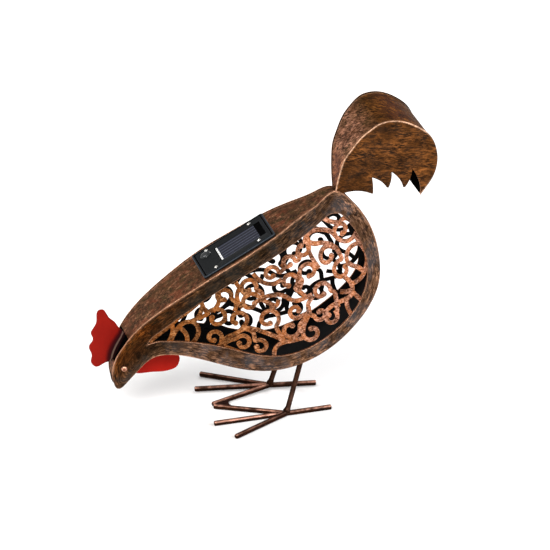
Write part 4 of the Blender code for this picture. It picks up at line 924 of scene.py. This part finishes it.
def buildHead(h):
    rear, front = stripLoop[windowRear], stripLoop[windowFront]
    chord = (front - rear) / size(front - rear)
    inwards = np.array([-chord[1], chord[0]]) * body["sheet"]
    rear, front = rear + chord * body["gap"], front - chord * body["gap"]
    outline = np.vstack([rear, smoothCurve(toProfile(h["comb"]), False, 300), front])
    seat = np.linspace(0, 1, len(outline))[:, None] * (front - rear) + rear + inwards
    addFlatPlate("comb", seat, outline, combRed, ["comb"])
    lower = smoothCurve(toProfile(h["wattle"]), False, 240)
    first, last = (int(np.argmin(size(beneath - point))) for point in (lower[0], lower[-1]))
    step = 1 if last > first else -1
    chin = beneath[first:last + step:step]
    chin = pointsAt(chin, np.linspace(0, lengthsAlong(chin)[-1], len(lower)))
    addFlatPlate("wattle", chin, lower, wattleRed, ["wattle"])


def ringFaces(rows, columns):
    # A tube's quads, then one face over its first ring and one over its last
    ends = range(columns)[::-1], range((rows - 1) * columns, rows * columns)
    return [*gridFaces(rows, columns, False, True), *ends]


def lathe(radius, height, sides):
    # Radii and heights turned round the upright axis
    turn, radius, height = turns(sides), np.array(radius)[:, None], np.array(height)[:, None]
    points = together(radius * np.cos(turn), radius * np.sin(turn), height).reshape(-1, 3)
    return points, ringFaces(len(radius), sides)


def moved(points, matrix):
    array = np.array(matrix)
    return points @ array[:3, :3].T + array[:3, 3]


eyeLook = dict(edgeLook, dark=(0.03, 0.012, 0.006), brown=(0.1, 0.035, 0.018), copper=(0.3, 0.12, 0.07),
               edge=(0.66, 0.34, 0.23), edgeFloor=0.5, casts=(), seed=41.0)
eyeCopper = copperFinish("copper on the eyes with a painted highlight ring", eyeLook)


def buildEyes(h):
    rise, half = np.linspace(0, pi / 2 * 0.97, 10), h["eyeWidth"] / 2  # the dome's top stays a small flat
    spot = toProfile([h["eye"]])
    near = toProfile([(h["eye"][0] + 1, h["eye"][1])])
    slope = float((bodySide(near, 0) - bodySide(spot, 0))[0]) / (0.001 * body["length"])
    for hand, word in hands:
        out = Vector((-slope * bodyAxis[0], hand, -slope * bodyAxis[1])).normalized()
        seat = Vector(toSide(spot, bodySide(spot, 0), hand)[0]) + out * body["gap"]
        points, faces = lathe(half * np.cos(rise), h["eyeHeight"] * np.sin(rise), 28)
        matrix = Matrix.Translation(seat) @ out.to_track_quat("Z", "Y").to_matrix().to_4x4()
        addPiece(f"{word}Eye", moved(points, matrix), faces, (eyeCopper,), [f"{word}_eye"],
                 # A painted highlight ring round each dome, in the edge colour
                 wearAndPaintedLight=np.exp(-((size(points[:, :2]) / half - 0.72) / 0.2)**2), sharp=60)


buildHead(head)
buildEyes(head)
print("comb, wattle and eyes set")


# Legs and toes: rods carried along straight lines, their ends rounded over

rods = {
    "radius": 0.0026, "nose": 0.0011, "sides": 28, "middle": 0.019971, "spacing": 0.0724,
    "hip": (0.0356792, 0.0314385, 0.054959),
    "toe": 0.0758, "backToe": 0.0472, "spread": 29.5, "innerSpread": 33.0, "out": 6.0, "innerReach": 0.0743,
    "collar": 0.0011,  # the weld's bead round the foot of a leg
}
rodLook = dict(
    copperLook, along="surface", dark=(0.006, 0.0035, 0.003), brown=(0.026, 0.009, 0.004),
    # edge: the colour of the painted highlight along the rods, broken up by chips
    copper=(0.085, 0.026, 0.01), edge=(0.98, 0.5, 0.36), edgeFloor=0.02, chipSize=0.012, gleam=0.08,
    cloudSize=0.009, cloudCover=0.48, density=800.0, stretch=10.0, cover=0.42, softness=0.09,
    areaSize=0.015, areaCover=0.48, roughness=0.34, bump=0.3, seed=51.0)
rodBronze = copperFinish("brushed bronze with a painted highlight on the rods", rodLook)
weldBronze = copperFinish("weld metal under the brushing", dict(
    rodLook, along="object", stretch=1.5, cover=0.4, bump=0.7, seed=55.0))


def tube(start, end, stations, radii, upwards=(0, 0, 1)):
    # Rings of each radius at each station along a straight line; a painted highlight where they face up and out
    forward = (end - start) / size(end - start)
    side = np.cross(forward, upwards)
    side /= size(side)
    turn, stations = turns(rods["sides"]), np.array(stations)[:, None]
    ring = np.cos(turn)[:, None] * side + np.sin(turn)[:, None] * np.cross(side, forward)
    points = start + stations[..., None] * forward + np.array(radii)[:, None, None] * ring
    shape = points.shape[:2]
    wearAndPaintedLight = np.clip((abs(ring[:, 1]) * 0.62 + ring[:, 2] * 0.78 - 0.86) / 0.12, 0, 1) * np.ones(shape)
    return points, ringFaces(*shape), together(stations, turn * rods["radius"]), wearAndPaintedLight


def addRod(name, start, end, node, roundStart=False):
    # Stations every 3 mm, and a quarter circle of 1.1 mm at each rounded end
    whole, radius, nose = size(end - start), rods["radius"], rods["nose"]
    swing = np.linspace(0, pi / 2, 6)
    inset, radii = nose * (1 - np.sin(swing))[::-1], (radius - nose * (1 - np.cos(swing)))[::-1]
    first = (inset, radii) if roundStart else ([0.0], [radius])
    middle = np.linspace(first[0][-1], whole - inset[-1], max(4, int(whole / 0.003)))[1:-1]
    stations = np.concatenate([first[0], middle, whole - inset[::-1]])
    radii = np.concatenate([first[1], np.full(len(middle), radius), radii[::-1]])
    points, faces, uv, wearAndPaintedLight = tube(start, end, stations, radii)
    addPiece(name, points, faces, (rodBronze,), [node], None, uv, wearAndPaintedLight, 50)


def buildLeg(r, hand, word, foot):
    # The rod stops at the belly: each of its lines runs on to the height of the underside there;
    # near the foot the weld's bead swells it by a bell curve with small lumps
    hip = np.array([r["hip"][0], hand * r["hip"][1], r["hip"][2]])
    whole = size(hip - foot)
    forward = (hip - foot) / whole
    stations = np.concatenate([np.linspace(0, 0.012, 22), np.linspace(0.014, whole + 0.004, 24)])
    swell = np.exp(-((stations - 0.0024) / 0.0026)**2)[:, None]
    grid, faces, uv, wearAndPaintedLight = tube(foot, hip, stations, r["radius"] + r["collar"] * swell[:, 0], (1, 0, 0))
    turn = turns(r["sides"])
    lumps = np.sin(3 * turn + hand) + 0.6 * np.sin(5 * turn + 1.3)
    centre = (foot + forward * stations[:, None])[:, None]
    grid += (grid - centre) * (0.1 * swell * lumps)[..., None]
    lower = beneath[(beneath[:, 0] > 0.01) & (beneath[:, 0] < 0.07) & (beneath[:, 1] < 0.075)]
    lower = lower[np.argsort(lower[:, 0])]
    over = grid[..., 2] - np.interp(grid[..., 0], *lower.T)
    grid -= np.clip(over, 0, None)[..., None] * forward / forward[2]
    grid[..., 2] = np.maximum(grid[..., 2], 0.0)
    # A faint painted highlight down the side of each leg that faces -Y, none on the weld's bead
    wearAndPaintedLight = np.clip(-(grid - centre)[..., 1] / r["radius"] * 0.9 - 0.35, 0, 1) * (1 - swell) * 0.12
    atFoot = np.arange(len(faces)) < 13 * r["sides"]
    addPiece(f"{word}Leg", grid, faces, (rodBronze, weldBronze), [f"{word}_leg"], atFoot, uv, wearAndPaintedLight, 50)


def buildLegs(r):
    for hand, word in hands:
        def toward(angle, reach):
            return foot + reach * np.array([-cos(radians(angle)), hand * sin(radians(angle)), 0.0])

        foot = np.array([r["middle"], hand * r["spacing"] / 2, r["radius"]])
        addRod(f"{word}MiddleToe", toward(r["out"], -r["backToe"]), toward(r["out"], r["toe"]),
               f"{word}_middle_toe", True)
        addRod(f"{word}OuterToe", foot, toward(r["out"] + r["spread"], r["toe"]), f"{word}_outer_toe")
        addRod(f"{word}InnerToe", foot, toward(r["out"] - r["innerSpread"], r["innerReach"]), f"{word}_inner_toe")
        buildLeg(r, hand, word, foot)


weld = {"ends": (-0.04329, -0.03029), "halfWidths": (0.0019, 0.0078), "low": 0.0014, "thickness": 0.0024,
        "across": 17, "along": 21}


def buildToeWeld(w):
    # A web between the toes: thickness = full in the middle, thinner towards its free edges
    s, t = np.linspace(0, 1, w["along"])[:, None], np.linspace(-1, 1, w["across"])
    x = w["ends"][0] + (w["ends"][1] - w["ends"][0]) * s + 0.0022 * t**2 * s
    y = t * (w["halfWidths"][0] + (w["halfWidths"][1] - w["halfWidths"][0]) * s)
    lump = 0.00022 * np.sin(9 * s + 2 * t) * np.cos(5 * t + 3 * s)
    half = w["thickness"] / 2 * (0.55 + 0.45 * np.sqrt(np.clip(1 - s**4, 0, 1)) * (0.7 + 0.3 * t**2))
    middle = w["low"] + w["thickness"] / 2
    points, faces = slab(together(x, y, middle - half), together(x, y, middle + half + lump))
    web = addPiece("toeWeld", points, faces, (weldBronze,), ["toe_weld"])
    softenEdges(web, 0.0003)


buildLegs(rods)
buildToeWeld(weld)
print("legs, toes and weld stand")


# Solar unit: moulded housing, cell, button and screws, in the frame of their seat on the back

housing = {
    # Half length, half width, corner radius, shift towards the tail and height, in millimetres
    "rings": (
        (33, 22, 1.5, 0, -14), (33, 22, 1.5, 0, 0), (40.5, 28.8, 2, 0, 0), (41, 29.25, 2.4, 0, 0.3),
        (41, 29.25, 2.4, 0, 1.4), (40.8, 29.05, 2.3, 0, 1.85), (40.4, 28.65, 2.1, 0, 2.1), (39.8, 28.05, 1.9, 0, 2.2),
        (39.1, 27.35, 1.6, 0, 2.2), (38.8, 27.05, 1.4, 0, 2), (38.7, 26.95, 1.4, 0, 1.2), (37.6, 25.85, 1, 0, 1.2),
        (37.5, 25.75, 1, 0, 1.9), (37.3, 25.55, 0.9, 0, 2.1), (26.2, 16.3, 0.9, 8, 2.1), (26, 16, 0.8, 8, 1.9),
        (25.8, 15.8, 0.8, 8, 0.8), (20, 10, 0.8, 8, 0.8)),
    "cornerPoints": 9, "shadedRows": (9, 10, 11, 15, 16, 17), "rimRings": (5, 6, 12),
}
plasticLook = dict(
    paint=(0.0035, 0.004, 0.0045), deeper=(0.01, 0.011, 0.012), cloudSize=0.0012, seed=61.0,
    fade=((0.0, (1.0, 1.0, 1.0)), (1.0, (5.0, 5.6, 6.4))),  # paler on the rounded rims: painted highlights
    roughness=0.4, gleam=0.05, grain=0.00045, bump=0.16)
plasticBlack = paintFinish("black moulded plastic", plasticLook)
# Painted shade: a darker black on the groove rows and the recess round the cell
grooveShadeBlack = paintFinish("painted shade black down in the grooves", dict(
    plasticLook, paint=(0.0012, 0.0012, 0.0014), deeper=(0.003, 0.003, 0.003), roughness=0.8, gleam=0.0, seed=62.0))
rubberBlack = paintFinish("black rubber", dict(plasticLook, paint=(0.012, 0.013, 0.014), cloudSize=0.01,
                                               roughness=0.26, gleam=0.4, seed=63.0))
unitSeat = Matrix(((unitAlong[0], 0, -unitAlong[1], unit["middle"][0]), (0, 1, 0, 0),
                   (unitAlong[1], 0, unitAlong[0], unit["middle"][1]), (0, 0, 0, 1)))


def roundedRing(halfLength, halfWidth, corner, shift, height, count):
    # Corner arcs of `count` points in turn: middle of the corner + radius × (cos, sin)
    turn = np.linspace(0, pi / 2, count) + np.arange(4)[:, None] * pi / 2
    signs = np.array([(1, 1), (-1, 1), (-1, -1), (1, -1)])
    x = signs[:, :1] * (halfLength - corner) + corner * np.cos(turn) + shift
    y = signs[:, 1:] * (halfWidth - corner) + corner * np.sin(turn)
    return together(x, y, height).reshape(-1, 3)


def buildHousing(h):
    rings = np.array([roundedRing(*ring, h["cornerPoints"]) for ring in h["rings"]]) / 1000
    rows, columns = rings.shape[:2]
    row = np.array([*np.arange(rows - 1).repeat(columns), 0, rows - 1])
    piece = addPiece("solarHousing", moved(rings, unitSeat), ringFaces(rows, columns), (plasticBlack, grooveShadeBlack),
                     ["solar_housing"], np.isin(row, h["shadedRows"]),
                     # the rim rings carry painted highlights
                     wearAndPaintedLight=np.isin(np.arange(rows), h["rimRings"]).repeat(columns))
    softenEdges(piece, 0.00008)


cell = {"length": 0.044, "width": 0.0305, "thickness": 0.0007, "from": -0.0168, "low": 0.0011,
        "lines": 5.5, "lineWidth": 0.1, "bar": 0.042, "glass": (0.004, 0.0048, 0.0105), "line": (0.062, 0.068, 0.1),
        "silver": (0.8, 0.8, 0.78)}


def cellFinish(c):
    # Dark blue cell: fine silver fingers along it, cloudy depth, and a silver bar at the head end
    finish, tree, shader, plain = startFinish("dark blue solar cell", 0.16)
    across = addNode(tree, "SeparateXYZ", {0: addNode(tree, "UVMap", uv_map="sheet")}, 1)
    cloud = useGroup(tree, "patch", plain, size=0.006, cover=0.5, softness=0.25, seed=71.0)
    wave = addMath(tree, "PINGPONG", addMath(tree, "MULTIPLY", across, c["lines"]), 0.5)
    finger = addMath(tree, "LESS_THAN", wave, c["lineWidth"])
    bar = addMath(tree, "LESS_THAN", across.node.outputs[0], c["bar"])
    bar = addMath(tree, "MULTIPLY", bar, addMath(tree, "GREATER_THAN", wave, c["lineWidth"] * 0.8))
    colour = addMix(tree, cloud, c["glass"], tuple(v * 1.9 for v in c["glass"]))
    colour = addMix(tree, addMath(tree, "MULTIPLY", finger, 0.7), colour, c["line"])
    colour = addMix(tree, bar, colour, c["silver"])
    endFinish(tree, shader, colour, addMath(tree, "MULTIPLY_ADD", cloud, 0.08, 0.16),
              addMath(tree, "MAXIMUM", finger, bar), 0.3, 0.0002)
    shader.inputs["Coat Weight"].default_value = 0.05
    shader.inputs["Coat Roughness"].default_value = 0.12
    return finish


def buildCell(c):
    u, v = np.linspace(0, 1, 23)[:, None], np.linspace(0, 1, 17)
    low, high = (together(c["from"] + u * c["length"], (v - 0.5) * c["width"], z)
                 for z in (c["low"], c["low"] + c["thickness"]))
    points, faces = slab(low, high)
    piece = addPiece("solarCell", moved(points, unitSeat), faces, (cellFinish(c),), ["solar_cell"], None,
                     thereAndBack(together(u, v)))
    softenEdges(piece, 0.00012)


fittings = {
    "button": (-0.028, 0.0135), "buttonRadius": 0.0059, "buttonHeight": 0.0022, "seat": 0.0022,
    "screws": ((-0.0255, -0.0222), (0.024, -0.0222), (-0.0255, 0.0222), (0.024, 0.0222)),
    "screwRadius": 0.0019, "screwHeight": 0.0009, "slot": 0.00042, "slotDepth": 0.00045,
}


def steelFinish():
    # Bright plated steel, duller where the cloud says so
    finish, tree, shader, plain = startFinish("bright plated steel", 0.28, 1.0)
    cloud = useGroup(tree, "patch", plain, size=0.0016, cover=0.5, softness=0.25, seed=81.0)
    endFinish(tree, shader, addMix(tree, cloud, (0.72, 0.71, 0.68), (0.5, 0.48, 0.44)),
              addMath(tree, "MULTIPLY_ADD", cloud, 0.16, 0.22), cloud, 0.15, 0.0001)
    return finish


def buildFittings(f):
    def seated(points, place):
        return moved(points, unitSeat @ Matrix.Translation((*place, f["seat"])))

    rise, radius = np.linspace(0, pi / 2 * 0.98, 14), f["buttonRadius"]
    points, faces = lathe([radius, radius, *radius * 0.94 * np.cos(rise)],
                          [0.0, 0.0004, *0.0006 + (f["buttonHeight"] - 0.0006) * np.sin(rise)], 48)
    addPiece("pushButton", seated(points, f["button"]), faces, (rubberBlack,), ["push_button"],
             sharp=50)
    steel = steelFinish()
    rise, radius, height = np.linspace(0, pi / 2 * 0.97, 13), f["screwRadius"], f["screwHeight"]
    for number, place in enumerate(f["screws"], 1):
        points, faces = lathe([radius, radius, *np.cos(rise) * radius],
                              [0.0, 0.15 * height, *(0.15 + 0.85 * np.sin(rise)) * height], 48)
        turned = points[:, :2] @ np.array([[cos(number), -sin(number)], [sin(number), cos(number)]])
        cross = (abs(turned) < f["slot"] / 2 + 0.0001).any(axis=1) & (size(turned) < radius * 0.72)
        points[cross, 2] -= f["slotDepth"]
        points[:, 2] = np.maximum(points[:, 2], 0)
        addPiece(f"solarScrew{number}", seated(points, place), faces, (steel,), [f"solar_screw_{number}"],
                 sharp=30)


buildHousing(housing)
buildCell(cell)
buildFittings(fittings)
print("solar unit fitted")
